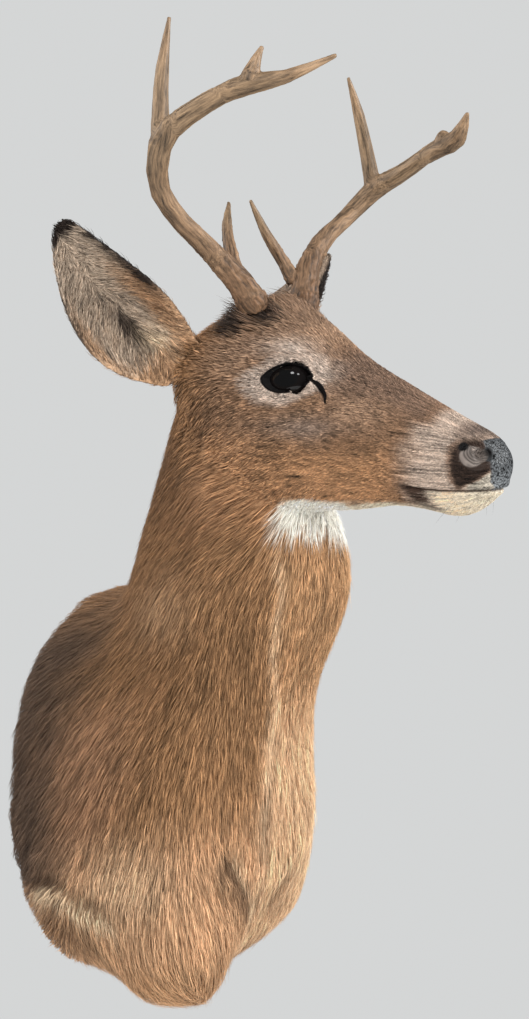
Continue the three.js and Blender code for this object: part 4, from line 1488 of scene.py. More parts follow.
class Lie:
    """The way the hair lies, at any place of the skin."""

    def __init__(self) -> None:
        """Gathers the guides of both sides in the part's frame."""
        spots, ways = [], []
        for side, flip in FLIP.items():
            for spot, way in HEAD_LIE:
                spots.append(HEAD.outside(np.array(spot) * MM * flip))
                ways.append(HEAD.way_out(unit(np.array(way) * flip)))
            flip = np.array([SIDES[side], 1.0, 1.0])
            for spot, way in BODY_LIE:
                spots.append(np.array(spot) * MM * flip)
                ways.append(unit(np.array(way, float) * flip))
        self.spots, self.ways = np.array(spots), np.array(ways)

    def at(self, surface: Surface) -> Array:
        """The way the hair lies.

        Args:
            surface: Places of the skin.

        Returns:
            One direction a row, flat on the skin.
        """
        total = np.zeros_like(surface.points)
        for spot, way in zip(self.spots, self.ways):
            gap = ((surface.points - spot) ** 2).sum(axis=1)
            total += way / (gap + 0.025**2)[:, None] ** 2
        total = unit(total)
        total += self._ears(surface)
        swirl = 0.07 * noise(surface.points, 0.035, 51)
        total += swirl[:, None] * np.cross(surface.normals, total)
        return tangent(total, surface.normals)

    @staticmethod
    def _ears(surface: Surface) -> Array:
        """Turns the ears' hair towards their tips, and in their cups also in from the edges.

        Args:
            surface: The places.

        Returns:
            What to add to each direction.
        """
        added = np.zeros_like(surface.points)
        for side, cup in EARS.items():
            mine = surface.is_ear & ((surface.head[:, 1] > 0) == (side == "left"))
            inside = surface.ear_facing[mine, 2] > 0.1
            across = np.clip(surface.ear[mine, 1] / 0.03, -1.0, 1.0)
            local = np.zeros((mine.sum(), 3))
            local[:, 0] = np.where(inside, 2.0, 4.0)
            local[:, 1] = np.where(inside, -2.6 * across + 1.2 * noise(surface.points[mine], 0.012, 61), 0.0)
            added[mine] = HEAD.way_out(local @ cup.turn.T)
        return added


@dataclass(frozen=True)
class HairSize:
    """Length, width and height of the tufts, and how many lie over each other, at places of the skin."""

    length: Array
    width: Array
    rise: Array
    layers: Array


def hair_size(surface: Surface, profile: Profile) -> HairSize:
    """The size of the coat's tufts.

    Args:
        surface: Places of the skin.
        profile: The body's front and back lines.

    Returns:
        Their sizes, one of each kind a row.
    """
    x = surface.head[:, 0]
    back = profile.share(surface.points)
    low = smooth(0.08, -0.1, surface.points[:, 2]) * smooth(0.35, 0.1, back)
    low += 1.4 * smooth(-0.1, -0.17, surface.points[:, 2])
    length = 24.0 * MM + 5.0 * MM * low
    width = np.full(len(x), 0.75 * MM)
    face = np.interp(x, [-0.13, -0.06, 0.0, 0.08, 0.15], [12.0, 9.0, 6.2, 4.6, 3.2]) * MM
    crown = blob(surface.folded, (-0.06, 0.02, 0.06), (0.035, 0.04, 0.025))
    collar = blob(surface.folded, BURR - (0.0, 0.0, 8.0 * MM), (0.024, 0.022, 0.02)) * surface.is_head
    face += 7.0 * MM * crown + 9.0 * MM * collar
    face += 3.0 * MM * blob(surface.folded, (0.155, 0.0, -0.11), (0.03, 0.03, 0.015))
    length = np.where(surface.is_head, face, length)
    width = np.where(surface.is_head, np.interp(x, [-0.13, 0.0, 0.15], [1.15, 0.8, 0.6]) * MM, width)
    inside = surface.ear_facing[:, 2] > 0.1
    length = np.where(surface.is_ear, np.where(inside, 11.0, 6.5) * MM, length)
    width = np.where(surface.is_ear, np.where(inside, 0.75, 0.8) * MM, width)
    rise = coat_depth(surface) + np.where(surface.is_head, 0.0, 1.2 * MM * low)
    rise = np.where(surface.is_ear, np.where(inside, 2.6, 1.0) * MM, rise)
    rise += (6.0 * MM * crown + 14.0 * MM * collar) * surface.is_head
    layers = np.where(surface.is_head, 2.35, 3.7)
    layers = np.where(surface.is_ear, np.where(inside, 2.0, 2.4), layers)
    clear = np.where(surface.is_head, bare_gap(surface), np.inf)
    return HairSize(np.minimum(length, 0.9 * MM + 0.85 * clear), width, rise, layers)


def bare_gap(surface: Surface) -> Array:
    """How far places are from the lids and the tear slit, which no hair crosses.

    Args:
        surface: The places.

    Returns:
        The distance of each place.
    """
    share, off_plane = OPENINGS["left"].around(surface.folded)
    lids = np.maximum(share**0.6 - 1.02, 0.0) * OPENINGS["left"].above
    slits = np.maximum(slit_gap(surface.folded), 0.0)
    return np.minimum(np.where(off_plane > 0.03, 1.0, lids), slits)


def slit_width(along: Array) -> Array:
    """Half the width of a tear slit at shares of its length."""
    return np.interp(along, [0.0, 0.2, 0.45, 0.8, 1.0], [1.1, 2.2, 2.9, 2.1, 0.5]) * MM


def slit_gap(folded: Array) -> Array:
    """How far head-frame places of the left side lie out of the tear slit."""
    slit, along = to_line(folded, curve_through(TEAR_SLIT, 4))
    return slit - slit_width(along)


def hair_room(surface: Surface) -> Array:
    """Where hair grows: not on the nose, lids, lips' edges and tear slits or against the wall.

    Args:
        surface: The places.

    Returns:
        The share of the hair that each place carries.
    """
    room = 1.0 - bare_nose(surface)
    share, off_plane = OPENINGS["left"].around(surface.folded)
    room = np.where(off_plane < 0.03, room * smooth(1.1, 1.28, share), room)
    room *= smooth(0.0, 0.8 * MM, slit_gap(surface.folded))
    lips = (np.abs(over_mouth(surface.head)) < 1.0 * MM) & (surface.head[:, 0] > 0.112)
    room = np.where(lips & surface.is_head, 0.0, room)
    y = surface.points[:, 1]
    hidden = (y > -0.006) | ((y > -0.03) & (surface.normals[:, 1] > 0.6))
    return np.where(hidden, 0.0, room)


# One tuft: three corners at its root, three at its middle and its tip, and the faces between them.
TUFT_ALONG = (0.0, 0.0, 0.0, 0.5, 0.5, 0.5, 1.0)
TUFT_FACES = np.array([[0, 1, 2], [0, 3, 4], [0, 4, 1], [1, 4, 5], [1, 5, 2], [2, 5, 3], [2, 3, 0],
                       [3, 6, 4], [4, 6, 5], [5, 6, 3]])[:, ::-1]
TUFT_PATCH = 0.0015 * np.array([[-1, -1], [1, -1], [0, -1], [-1, 0], [1, 0], [0, 0.2], [0, 1]])  # unwrapped


@dataclass
class Coat:
    """The hair: solid tapered tufts that lie along the skin, in pieces by region."""

    skin: Skin
    profile: Profile
    lie: Lie
    seed: int = 1907
    piece_tufts: int = 19000  # in one piece of the coat at most
    wall: float = -0.4 * MM  # no hair reaches farther back than this
    uneven: float = 0.18  # how much the tufts' sizes vary
    root_depth: float = 0.3 * MM

    def __post_init__(self) -> None:
        """Starts the random numbers of the whole coat."""
        self.random = np.random.default_rng(self.seed)

    def grow(self, finish: Finish) -> list[Piece]:
        """Grows every tuft and joins them into pieces.

        Args:
            finish: The coat's finish.

        Returns:
            The pieces.
        """
        roots = self._roots()
        LOG.info("coat has %d tufts", len(roots.points))
        pieces = []
        for region in Region:
            own = roots.part(roots.regions == region.value)
            order = np.argsort(own.points @ np.array([1.0, 0.2, 0.1]))
            count = max(1, math.ceil(len(order) / self.piece_tufts))
            for number, some in enumerate(np.array_split(order, count), 1):
                name = f"coat_{region.name.lower()}_{number}"
                pieces.append(self._tufts(name, own.part(some), finish))
        return pieces

    def _roots(self) -> Surface:
        """Picks places on the skin for the tufts, as close together as their size asks.

        Returns:
            The places.
        """
        skin = self.skin
        corners = skin.surface.points[skin.triangles]
        sides = corners[:, 1:] - corners[:, :1]
        area = 0.5 * np.linalg.norm(np.cross(sides[:, 0], sides[:, 1]), axis=1)
        size = hair_size(skin.surface, self.profile)
        density = size.layers / (size.length * size.width) * hair_room(skin.surface)
        wanted = area * density[skin.triangles].mean(axis=1)
        count = int(wanted.sum())
        chosen = self.random.choice(len(wanted), count, p=wanted / wanted.sum())
        share = self.random.random((count, 2))
        share = np.where(share.sum(axis=1, keepdims=True) > 1.0, 1.0 - share, share)
        weights = np.column_stack([1.0 - share.sum(axis=1), share])
        points = (corners[chosen] * weights[:, :, None]).sum(axis=1)
        normals = unit((skin.surface.normals[skin.triangles[chosen]] * weights[:, :, None]).sum(axis=1))
        roots = skin.reading(points, normals)
        return roots.part(hair_room(roots) > 0.5)

    def _tufts(self, name: str, roots: Surface, finish: Finish) -> Piece:
        """Makes one piece of the coat.

        Args:
            name: The piece's name.
            roots: Where its tufts grow.
            finish: The coat's finish.

        Returns:
            The piece.
        """
        count, corners = len(roots.points), len(TUFT_ALONG)
        cover = self.skin.cover
        size = hair_size(roots, self.profile)
        vary = self.random.normal(1.0, self.uneven, (4, count)).clip(0.5, 1.5)
        length, width, rise = size.length * vary[0], size.width * vary[1], size.rise * vary[2]
        way = self.lie.at(roots)
        side = np.cross(roots.normals, way)
        lock = locks(roots.points, way, 1.6 * lock_width(roots), 71)
        rise = rise * (1.0 + 0.3 * locks(roots.points, way, lock_width(roots), 43)).clip(0.5, 1.5)
        curl = (self.random.normal(0.0, 0.05, count) + 0.08 * lock)[:, None]
        middle, facing = nearest_on(cover, roots.points + (way + curl * side) * (0.45 * length)[:, None])
        onward = tangent(way + 2.0 * curl * side, facing)
        tip, tip_facing = nearest_on(cover, middle + onward * (0.55 * length)[:, None])
        middle = middle + facing * (0.68 * rise)[:, None]
        tip = tip + tip_facing * (0.92 * rise * vary[3])[:, None]
        base = roots.points - roots.normals * self.root_depth
        bead = 0.34 * width[:, None]
        points = np.empty((count, corners, 3))
        for ring, centre, normal, share in ((0, base, roots.normals, 1.0), (3, middle, facing, 0.85)):
            points[:, ring] = centre - side * (0.5 * share * width)[:, None]
            points[:, ring + 1] = centre + side * (0.5 * share * width)[:, None]
            points[:, ring + 2] = centre + normal * bead * share
        points[:, 6] = tip
        faces = (TUFT_FACES[None] + corners * np.arange(count)[:, None, None]).reshape(-1, 3)
        points[:, :, 1] = np.minimum(points[:, :, 1], self.wall)
        piece = mesh_object(name, points.reshape(-1, 3), faces)
        colours = markings(roots, self.profile, self.lie)
        store_colour(piece.data, "marking", np.repeat(colours, corners, axis=0))
        chance = np.repeat(self.random.random(count), corners)
        calm = 1.0 - 0.6 * smooth(0.5, 0.75, colours.mean(axis=1))
        contrast = np.repeat(np.where(roots.is_head | roots.is_ear, 0.75, 0.6) * calm, corners)
        store_colour(piece.data, "hair", np.column_stack([np.tile(TUFT_ALONG, count), chance, contrast]))
        self._unwrap(piece, roots, faces)
        return dressed(piece, finish)

    @staticmethod
    def _unwrap(piece: Piece, roots: Surface, faces: Array) -> None:
        """Lays each tuft as a small patch at its root's place on an unwrap of the skin round its own middle.

        Args:
            piece: The piece of coat.
            roots: Where its tufts grow.
            faces: The piece's faces.
        """
        middle = roots.points.mean(axis=0)
        reach = roots.points - middle
        _, _, axes = np.linalg.svd(reach, full_matrices=False)
        local = reach @ axes.T
        turn = np.arctan2(local[:, 2], local[:, 1]) / (2.0 * np.pi) + 0.5
        climb = (local[:, 0] - local[:, 0].min()) / np.ptp(local[:, 0])
        spot = 0.005 + 0.99 * np.column_stack([turn, climb])
        flat = (spot[:, None] + TUFT_PATCH[None]).reshape(-1, 2)
        layer = piece.data.uv_layers.new(name="OFBake")
        layer.uv.foreach_set("vector", flat[faces.ravel()].astype(np.float32).ravel())


# ---- finishes of the animal ----
class HideFinish(Finish):
    """The skin under the coat: the same markings, streaked like lying hair, and the bare wet nose."""

    def __init__(self) -> None:
        """Lays the markings, the hairs, the pebbled pad and the pleats of the nostrils."""
        super().__init__("hide", 0.75)
        marking = self.kept("marking")
        bare, wet, grain = self.channels("bare")
        strands = self.speckle(self.place((260.0, 260.0, 45.0)), 1.0, 4.0, 0.65)
        short = self.speckle(self.place((700.0, 700.0, 500.0)), 1.0, 2.0)
        hairs = strands * grain + short * (1.0 - grain)
        colour = self.scaled(marking, 0.78 + 0.6 * hairs)
        colour = self.blend(bare, colour, marking)
        cells = {"Vector": self.place(), "Scale": 540.0}
        pebbles = self.node("ShaderNodeTexVoronoi", {"feature": "F1"}, cells)
        pebble = Wire(self, pebbles.outputs["Distance"])
        # Painted highlights and painted shade: the wet pad's colour is lighter on each pebble's top and
        # darker between the pebbles.
        colour = self.blend(wet, colour, self.scaled(marking, 3.6 * (1.0 - 1.2 * pebble)))
        fold, sweep, _ = self.channels("nostril")
        angle = 34.0 * sweep + 1.2 + 3.0 * (strands - 0.5)
        waves = Wire(self, self.node("ShaderNodeMath", {"operation": "SINE"}, {0: angle}).outputs[0])
        # Painted shade and painted light on the pleats: their colour follows their bump, darker in the
        # troughs and farther from the nostril's sweep, lighter on the crests.
        pleat = 0.85 - 0.5 * sweep + (0.4 - 0.35 * sweep) * waves
        colour = self.blend(fold * (1.0 - wet), colour, self.scaled(colour, pleat))
        height = wet * (1.0 - pebble) + 0.8 * fold * pleat + (1.0 - wet) * (1.0 - 0.85 * fold) * hairs
        self.drive(Base_Color=colour, Normal=self.bump(height, 0.7 * MM, 0.9),
                     Roughness=0.78 - 0.3 * bare - 0.2 * wet, Specular_IOR_Level=0.35)


class CoatFinish(Finish):
    """The hair: each tuft in its marking's colour, darker at the root as painted shade and unlike the next.
    """

    def __init__(self) -> None:
        """Lays the markings and shades each tuft along its length."""
        super().__init__("coat", 0.62)
        marking = self.kept("marking")
        along, chance, contrast = self.channels("hair")
        fleck = self.speckle(self.place((900.0, 900.0, 900.0)), 1.0, 2.0)
        # Painted shade: each tuft darkens from its tip to its root, where the tufts lie over each other;
        # chance and fleck vary it at random.
        shade = 0.9 + 0.45 * along + (chance - 0.5) * contrast + (fleck - 0.5) * 0.3
        dark_tips = (along**3.0) * (0.4 * (chance**4.0))
        colour = self.scaled(marking, shade * (1.0 - dark_tips))
        self.drive(Base_Color=colour, Roughness=0.56 + 0.16 * chance, Specular_IOR_Level=0.3)


# ---- eyes, lids, lashes and whiskers ----
# Rings of a lid: the share of the way from the skin to the ball, and the height over the slope between them.
LID_PROFILE = ((0.0, -0.8 * MM), (0.1, 0.9 * MM), (0.3, 1.3 * MM), (0.5, 1.0 * MM), (0.75, 0.75 * MM),
               (0.96, 0.6 * MM), (1.0, 0.1 * MM), (1.0, -1.2 * MM), (0.5, -2.2 * MM))


class GlassFinish(Finish):
    """Polished glass over a nearly black iris with a level pupil."""

    def __init__(self) -> None:
        """Makes the glass's colour from the iris outwards."""
        super().__init__("glass_eye", 0.04, Specular_IOR_Level=0.45)
        ring, _, _ = self.channels("iris")
        streaks = self.speckle(self.place(), 1400.0, 2.0)
        stops = [(0.0, (0.004, 0.004, 0.004)), (0.42, (0.004, 0.004, 0.004)), (0.5, (0.006, 0.0045, 0.004)),
                 (0.78, (0.005, 0.004, 0.004)), (0.9, (0.003, 0.003, 0.003)), (1.0, (0.004, 0.004, 0.005))]
        self.drive(Base_Color=self.ramp(ring + 0.06 * (streaks - 0.5), stops))


@dataclass
class Eyes:
    """Both eyeballs with the black lids round them, their tear slits and their lashes."""

    skin: Skin
    seed: int = 77
    lid_steps: int = 96  # places round a ring of a lid
    slit_sides: int = 8  # places round the ridge of a tear slit
    slit_lift: float = 1.4 * MM
    upper_lashes: int = 40
    lower_lashes: int = 12
    lash_width: float = 0.28 * MM

    def __post_init__(self) -> None:
        """Starts the random numbers and makes the finishes."""
        self.random = np.random.default_rng(self.seed)
        self.ball = GlassFinish()
        self.black = Finish("black_skin", 0.26, Base_Color=NEAR_BLACK, Specular_IOR_Level=0.18)
        creases = self.black.speckle(self.black.place(), 900.0, 3.0)
        self.black.drive(Normal=self.black.bump(creases, 0.3 * MM, 0.6))

    def build(self) -> list[Piece]:
        """Makes every piece.

        Returns:
            The pieces.
        """
        pieces = []
        for side, opening in OPENINGS.items():
            pieces += [self._ball(side, opening), self._lids(side, opening), self._tear_slit(side)]
            pieces.append(self._lashes(side, opening))
        return pieces

    def _ball(self, side: str, opening: EyeOpening) -> Piece:
        """Builds one eyeball, a little fuller over its iris.

        Args:
            side: Its side.
            opening: Its opening.

        Returns:
            The eyeball.
        """
        grid = bmesh.new()
        bmesh.ops.create_uvsphere(grid, u_segments=96, v_segments=48, radius=1.0)
        mesh = bpy.data.meshes.new("sphere")
        grid.to_mesh(mesh)
        grid.free()
        ways = places(mesh)
        faces = [list(face.vertices) for face in mesh.polygons]
        tilt = np.hypot(ways[:, 0] / 1.15, ways[:, 1] / 0.95)
        facing = ways[:, 2] > 0
        points = opening.ball + ways * np.array(opening.ball_size) @ opening.turn.T
        piece = mesh_object(f"eyeball_{side}", HEAD.outside(points), faces)
        store_colour(piece.data, "iris", np.repeat(np.where(facing, tilt, 1.0)[:, None], 3, axis=1))
        return dressed(piece, self.ball, [f"eye_{side}"])

    def _skin_height(self, opening: EyeOpening, flat: Array) -> Array:
        """How far out of the socket's flat frame the skin stands.

        Args:
            opening: The eye's opening.
            flat: Places in that frame.

        Returns:
            The height at each place.
        """
        away = Vector(HEAD.way_out(-opening.turn[:, 2]))
        lifted = np.column_stack([flat, np.full(len(flat), 0.04)])
        found = []
        for start in HEAD.outside(opening.place(lifted)):
            hit = self.skin.cover.ray_cast(Vector(start), away)[0]
            found.append(opening.read(HEAD.inside(np.array(hit)))[2])
        return np.array(found)

    def _lids(self, side: str, opening: EyeOpening) -> Piece:
        """Builds the black rims of one eye, from the skin round it down to the ball.

        Args:
            side: Its side.
            opening: Its opening.

        Returns:
            The rims.
        """
        turn = np.arange(self.lid_steps) * 2.0 * np.pi / self.lid_steps
        outer = opening.outline(turn, 1.04)
        around = [self._skin_height(opening, opening.outline(turn, grow)) for grow in (1.02, 1.06, 1.1, 1.14)]
        highest = np.maximum.reduce(around)
        rim = highest
        for _ in range(8):
            rim = np.maximum((np.roll(rim, 1) + np.roll(rim, -1) + 2.0 * rim) / 4.0, highest)
        long, tall, deep = opening.ball_size
        inner = opening.outline(turn, 0.9)
        inner[:, 0] *= 0.94
        inside = 1.0 - (inner[:, 0] / long) ** 2 - (inner[:, 1] / tall) ** 2
        seat = deep * np.sqrt(np.maximum(inside, 0.02)) - opening.ball_depth
        lift = (0.75 + 0.5 * np.maximum(np.sin(turn), 0.0)) * MM
        rings = []
        for share, height in LID_PROFILE:
            flat = outer + (inner - outer) * share
            level = rim + (seat - rim) * share**1.6 + height * (lift / (0.75 * MM) if height > 0 else 1.0)
            rings.append(HEAD.outside(opening.place(np.column_stack([flat, level]))))
        rings = np.array(rings)
        if side == "left":
            rings = rings[:, ::-1]
        piece = mesh_object(f"eyelids_{side}", rings.reshape(-1, 3), ring_solid(rings))
        return dressed(piece, self.black)

    def _tear_slit(self, side: str) -> Piece:
        """Builds the black slit below one eye's front corner: a soft ridge in its groove.

        Args:
            side: The eye's side.

        Returns:
            The ridge.
        """
        line, faced = nearest_on(self.skin.cover, HEAD.outside(curve_through(TEAR_SLIT, 6) * FLIP[side]))
        normals = np.tile(unit(faced.mean(axis=0)), (len(line), 1))
        for _ in range(8):
            line[1:-1] = (line[:-2] + 2.0 * line[1:-1] + line[2:]) / 4.0
        line += self.slit_lift * normals
        ahead = unit(np.gradient(line, axis=0))
        across = unit(np.cross(ahead, normals))
        share = np.linspace(0.0, 1.0, len(line))
        wide = slit_width(share) * smooth(-0.03, 0.04, share) * smooth(1.03, 0.95, share)
        rings = []
        for turn in np.arange(self.slit_sides) * 2.0 * np.pi / self.slit_sides:
            side_way = across * (np.cos(turn) * wide)[:, None]
            rings.append(line + side_way + normals * (np.sin(turn) * 0.4 * wide)[:, None])
        rings = np.stack(rings, axis=1)
        rows = ring_solid(rings).tolist()
        tube = [row for row in rows if abs(row[0] // self.slit_sides - row[3] // self.slit_sides) == 1]
        last = self.slit_sides * (len(line) - 1)
        tube += [list(range(self.slit_sides)), [last + k for k in range(self.slit_sides)][::-1]]
        if side == "left":
            tube = [row[::-1] for row in tube]
        piece = mesh_object(f"tear_slit_{side}", rings.reshape(-1, 3), tube)
        return dressed(piece, self.black)

    def _lashes(self, side: str, opening: EyeOpening) -> Piece:
        """Builds the lashes of one eye, longest along the middle of the upper lid.

        Args:
            side: Its side.
            opening: Its opening.

        Returns:
            The lashes.
        """
        count = self.upper_lashes + self.lower_lashes
        upper = np.linspace(0.16, 0.93, self.upper_lashes) * np.pi
        lower = -np.linspace(0.25, 0.85, self.lower_lashes) * np.pi
        turn = np.concatenate([upper, lower]) + self.random.normal(0.0, 0.02, count)
        flat = opening.outline(turn, 1.0)
        height = self._skin_height(opening, opening.outline(turn, 1.16)) + 0.8 * MM
        roots = opening.place(np.column_stack([flat, height]))
        outward = np.column_stack([np.cos(turn) - 0.5, 0.7 * np.sin(turn), np.full(count, 0.9)])
        ways = unit(outward + self.random.normal(0.0, 0.12, (count, 3))) @ opening.turn.T
        droop = np.where(turn > 0, -0.25, 0.1)[:, None] * opening.turn[:, 1]
        length = np.where(turn > 0, 3.5 + 4.0 * np.sin(np.abs(turn)), 3.0) * MM
        piece = strands(f"lashes_{side}", HEAD.outside(roots), HEAD.way_out(ways), HEAD.way_out(droop),
                        length, self.lash_width)
        return dressed(piece, self.black)


def strands(name: str, roots: Array, ways: Array, bends: Array, lengths: Array, width: float) -> Piece:
    """Single bent hairs, each a closed three-sided spike.

    Args:
        name: The piece's name.
        roots: Where they grow, one a row.
        ways: The way each one points.
        bends: How each one bends over its length.
        lengths: Their lengths.
        width: How thick they are at the root.

    Returns:
        The piece.
    """
    count = len(roots)
    side = unit(np.cross(ways, ways[:, [1, 2, 0]]))
    other = np.cross(ways, side)
    points = []
    for share in (0.0, 0.35, 0.7):
        centre = roots + (ways * share + bends * share**2) * lengths[:, None]
        for turn in (0.0, 2.1, 4.2):
            offset = side * math.cos(turn) + other * math.sin(turn)
            points.append(centre + offset * 0.5 * width * (1.0 - 0.8 * share))
    points.append(roots + (ways + bends) * lengths[:, None])
    faces = [[2, 1, 0]]
    for ring in (0, 3):
        for a, b in ((0, 1), (1, 2), (2, 0)):
            faces += [[ring + a, ring + b, ring + 3 + b], [ring + a, ring + 3 + b, ring + 3 + a]]
    faces += [[6, 7, 9], [7, 8, 9], [8, 6, 9]]
    every = (np.array(faces)[None] + 10 * np.arange(count)[:, None, None]).reshape(-1, 3)
    return mesh_object(name, np.stack(points, axis=1).reshape(-1, 3), every)


def whiskers(skin: Skin, count: int = 26) -> Piece:
    """The long dark hairs of the lips and chin.

    Args:
        skin: The skin that they grow on.
        count: How many there are.

    Returns:
        The piece.
    """
    random = np.random.default_rng(5)
    spots = random.uniform((128, 12, -104), (176, 26, -66), (count, 3)) * MM
    spots[:, 1] *= np.where(np.arange(count) % 2, 1.0, -1.0)
    roots, normals = nearest_on(skin.cover, HEAD.outside(spots))
    back = HEAD.way_out(np.array([-0.55, 0.0, -0.35]))
    ways = unit(normals + back + random.normal(0.0, 0.15, (count, 3)))
    bends = np.tile(HEAD.way_out(np.array([-0.15, 0.0, -0.2])), (count, 1))
    lengths = random.uniform(9.0, 19.0, count) * MM
    piece = strands("whiskers", roots, ways, bends, lengths, 0.22 * MM)
    return dressed(piece, Finish("whisker", 0.4, Base_Color=(0.02, 0.015, 0.012)))


# ---- the antlers ----
BEAM = ("base", "beam", "upper_beam", "tip")
TINES = ("brow_tine", "second_tine", "third_tine")


@dataclass
class Antler:
    """One antler as one grown piece: a pearled foot, a grooved beam and smooth-tipped tines."""

    side: str
    voxel: float = 1.3 * MM
    swell: float = 0.35 * MM  # closes the parting cuts of its nodes
    colour_run: float = 0.5  # length of the beam over which its colour changes
    stretch: float = 11.0  # how much longer than wide the grooves are
    slices: int = 7  # read along each node for its middle line
    look: float = 4.0 * MM  # how far ahead and behind the grain's direction is read

    def build(self, finish: Finish) -> Piece:
        """Makes the antler in place of its nodes.

        Args:
            finish: The finish of antler.

        Returns:
            The piece.
        """
        names = [f"antler_{self.side}_{part}" for part in (*BEAM, *TINES)]
        tree, owner = tree_over(names)
        piece = grown(f"antler_{self.side}", names, self.swell, self.voxel)
        mesh = piece.data
        mesh.shade_smooth()
        points, edges = places(mesh), edges_of(mesh)
        part = owner[np.array([tree.find_nearest(p)[2] for p in points.tolist()])]
        lines = self._lines(points, part)
        along, rest, grain = self._read(points, part, lines)
        points -= facings(mesh) * self._foot_bulge(points, part, lines[0])[:, None]
        points = relaxed(points, edges, 22, smooth(4.0 * MM, 25.0 * MM, rest) * 0.9 + 0.1)
        move_to(mesh, points)
        grooves = noise(grain, 3.4 * MM, 3) * 0.6 + noise(grain, 1.7 * MM, 4) * 0.4
        pearls = np.maximum(noise(points, 3.4 * MM, 8), 0.0) ** 1.5
        low = smooth(0.16, 0.03, along)
        height = (0.55 + 0.55 * low) * MM * grooves * smooth(6.0 * MM, 60.0 * MM, rest)
        height += 1.7 * MM * pearls * low
        height -= 1.5 * MM * smooth(24.0 * MM, 8.0 * MM, along)
        normals = facings(mesh)
        points = relaxed(points + normals * height[:, None], edges, 1, np.full(len(points), 0.5))
        move_to(mesh, points)
        kept = np.column_stack([along / self.colour_run, 0.5 + 0.8 * grooves, smooth(60.0 * MM, 0.0, rest)])
        store_colour(mesh, "antler", np.clip(kept, 0.0, 1.0))
        store_colour(mesh, "grain", grain)
        return dressed(piece, finish, names)

    @staticmethod
    def _foot_bulge(points: Array, part: Array, beam: Array) -> Array:
        """How far places stand out over a foot that flares evenly into the hair.

        Args:
            points: Places, one a row.
            part: The number of each place's node.
            beam: The beam's middle line.

        Returns:
            The height of each place.
        """
        girth, share = to_line(points, beam)
        run = share * np.linalg.norm(np.diff(beam, axis=0), axis=1).sum()
        low = part < 2
        usual = np.median(girth[low & (np.abs(run - 36.0 * MM) < 5.0 * MM)])
        most = usual * np.interp(run, [0.0, 30.0 * MM], [1.2, 1.0])
        return np.maximum(girth - most, 0.0) * low * smooth(46.0 * MM, 36.0 * MM, run)

    def _lines(self, points: Array, part: Array) -> list[Array]:
        """The middle lines of the beam and of each tine, from the burr outwards.

        Args:
            points: Places, one a row.
            part: The number of each place's node.

        Returns:
            The corners of each line.
        """
        beam = [HEAD.outside(BURR * FLIP[self.side])]
        for number in range(len(BEAM)):
            beam.extend(self._middles(points[part == number], beam[-1]))
        lines = [np.array(beam)]
        for number in range(len(BEAM), len(BEAM) + len(TINES)):
            own = points[part == number]
            nearest = min(lines[0], key=lambda spot: np.linalg.norm(own - spot, axis=1).min())
            lines.append(np.array([nearest, *self._middles(own, nearest)]))
        return lines

    def _middles(self, points: Array, start: Array) -> list[Array]:
        """The middles of slices across a long body.

        Args:
            points: Its vertices.
            start: The place that its first slice is near.

        Returns:
            One place for each slice.
        """
        middle = points.mean(axis=0)
        _, _, axes = np.linalg.svd(points - middle, full_matrices=False)
        axis = axes[0] if axes[0] @ (middle - start) > 0 else -axes[0]
        along = (points - middle) @ axis
        edges = np.linspace(along.min(), along.max(), self.slices + 1)
        rows = [points[(along >= a) & (along <= b)].mean(axis=0) for a, b in zip(edges, edges[1:])]
        return [*rows, points[along.argmax()]]

    def _read(self, points: Array, part: Array, lines: list[Array]) -> tuple[Array, Array, Array]:
        """Reads places against the middle lines.

        Args:
            points: Places of the antler's surface.
            part: The node that each belongs to.
            lines: The middle lines of the beam and the tines.

        Returns:
            The length run from the burr, the length left to the tip, and places drawn out along the grain.
        """
        along, rest = np.zeros(len(points)), np.zeros(len(points))
        grain = np.zeros_like(points)
        level = HEAD.turn[:, 1]
        beam_run = run_along(lines[0])
        for number, line in enumerate(lines):
            own = part < len(BEAM) if number == 0 else part == len(BEAM) + number - 1
            _, share = to_line(points[own], line)
            run = run_along(line)
            before = 0.0 if number == 0 else beam_run[np.linalg.norm(lines[0] - line[0], axis=1).argmin()]
            reached = share * run[-1]
            along[own] = before + reached
            rest[own] = run[-1] - reached
            way = unit(read_line(line, run, reached + self.look) - read_line(line, run, reached - self.look))
            across = unit(level - (way @ level)[:, None] * way)
            offset = points[own] - read_line(line, run, reached)
            over = (offset * np.cross(way, across)).sum(axis=1)
            grain[own] = np.column_stack([(offset * across).sum(axis=1), over, along[own] / self.stretch])
        return along, rest, grain


class AntlerFinish(Finish):
    """Brown, grooved antler that pales towards its polished tips."""

    def __init__(self) -> None:
        """Lays the colours along the beam and the grooves over them."""
        super().__init__("antler", 0.5)
        along, groove, tip = self.channels("antler")
        fine = self.speckle(self.kept("grain"), 620.0, 4.0, 0.65)
        patches = self.speckle(self.place(), 45.0, 3.0)
        stops = [(0.0, (0.165, 0.088, 0.045)), (0.18, (0.26, 0.155, 0.085)), (0.5, (0.27, 0.178, 0.102)),
                 (0.85, (0.262, 0.165, 0.092)), (1.0, (0.31, 0.2, 0.116))]
        base = self.ramp(along + 0.30 * (patches - 0.5) + 0.35 * tip, stops)
        shade = 0.42 + 0.75 * groove + 2.6 * (fine - 0.5) + 0.1 * tip
        self.drive(Base_Color=self.scaled(base, shade), Normal=self.bump(fine, 0.35 * MM, 0.7),
                     Roughness=0.58 - 0.18 * tip)


# ---- the back board and its hanger ----
class BoardFinish(Finish):
    """Plywood with a long grain."""

    def __init__(self) -> None:
        """Lays the grain and the pores."""
        super().__init__("plywood", 0.6)
        grain = self.speckle(self.place((90.0, 90.0, 6.0)), 1.0, 5.0, 0.6)
        pores = self.speckle(self.place((900.0, 900.0, 40.0)), 1.0, 2.0)
        stops = [(0.2, (0.30, 0.17, 0.08)), (0.5, (0.50, 0.32, 0.17)), (0.8, (0.60, 0.41, 0.24))]
        self.drive(Base_Color=self.scaled(self.ramp(grain, stops), 0.85 + 0.3 * pores),
                     Normal=self.bump(pores, 0.2 * MM, 0.5))


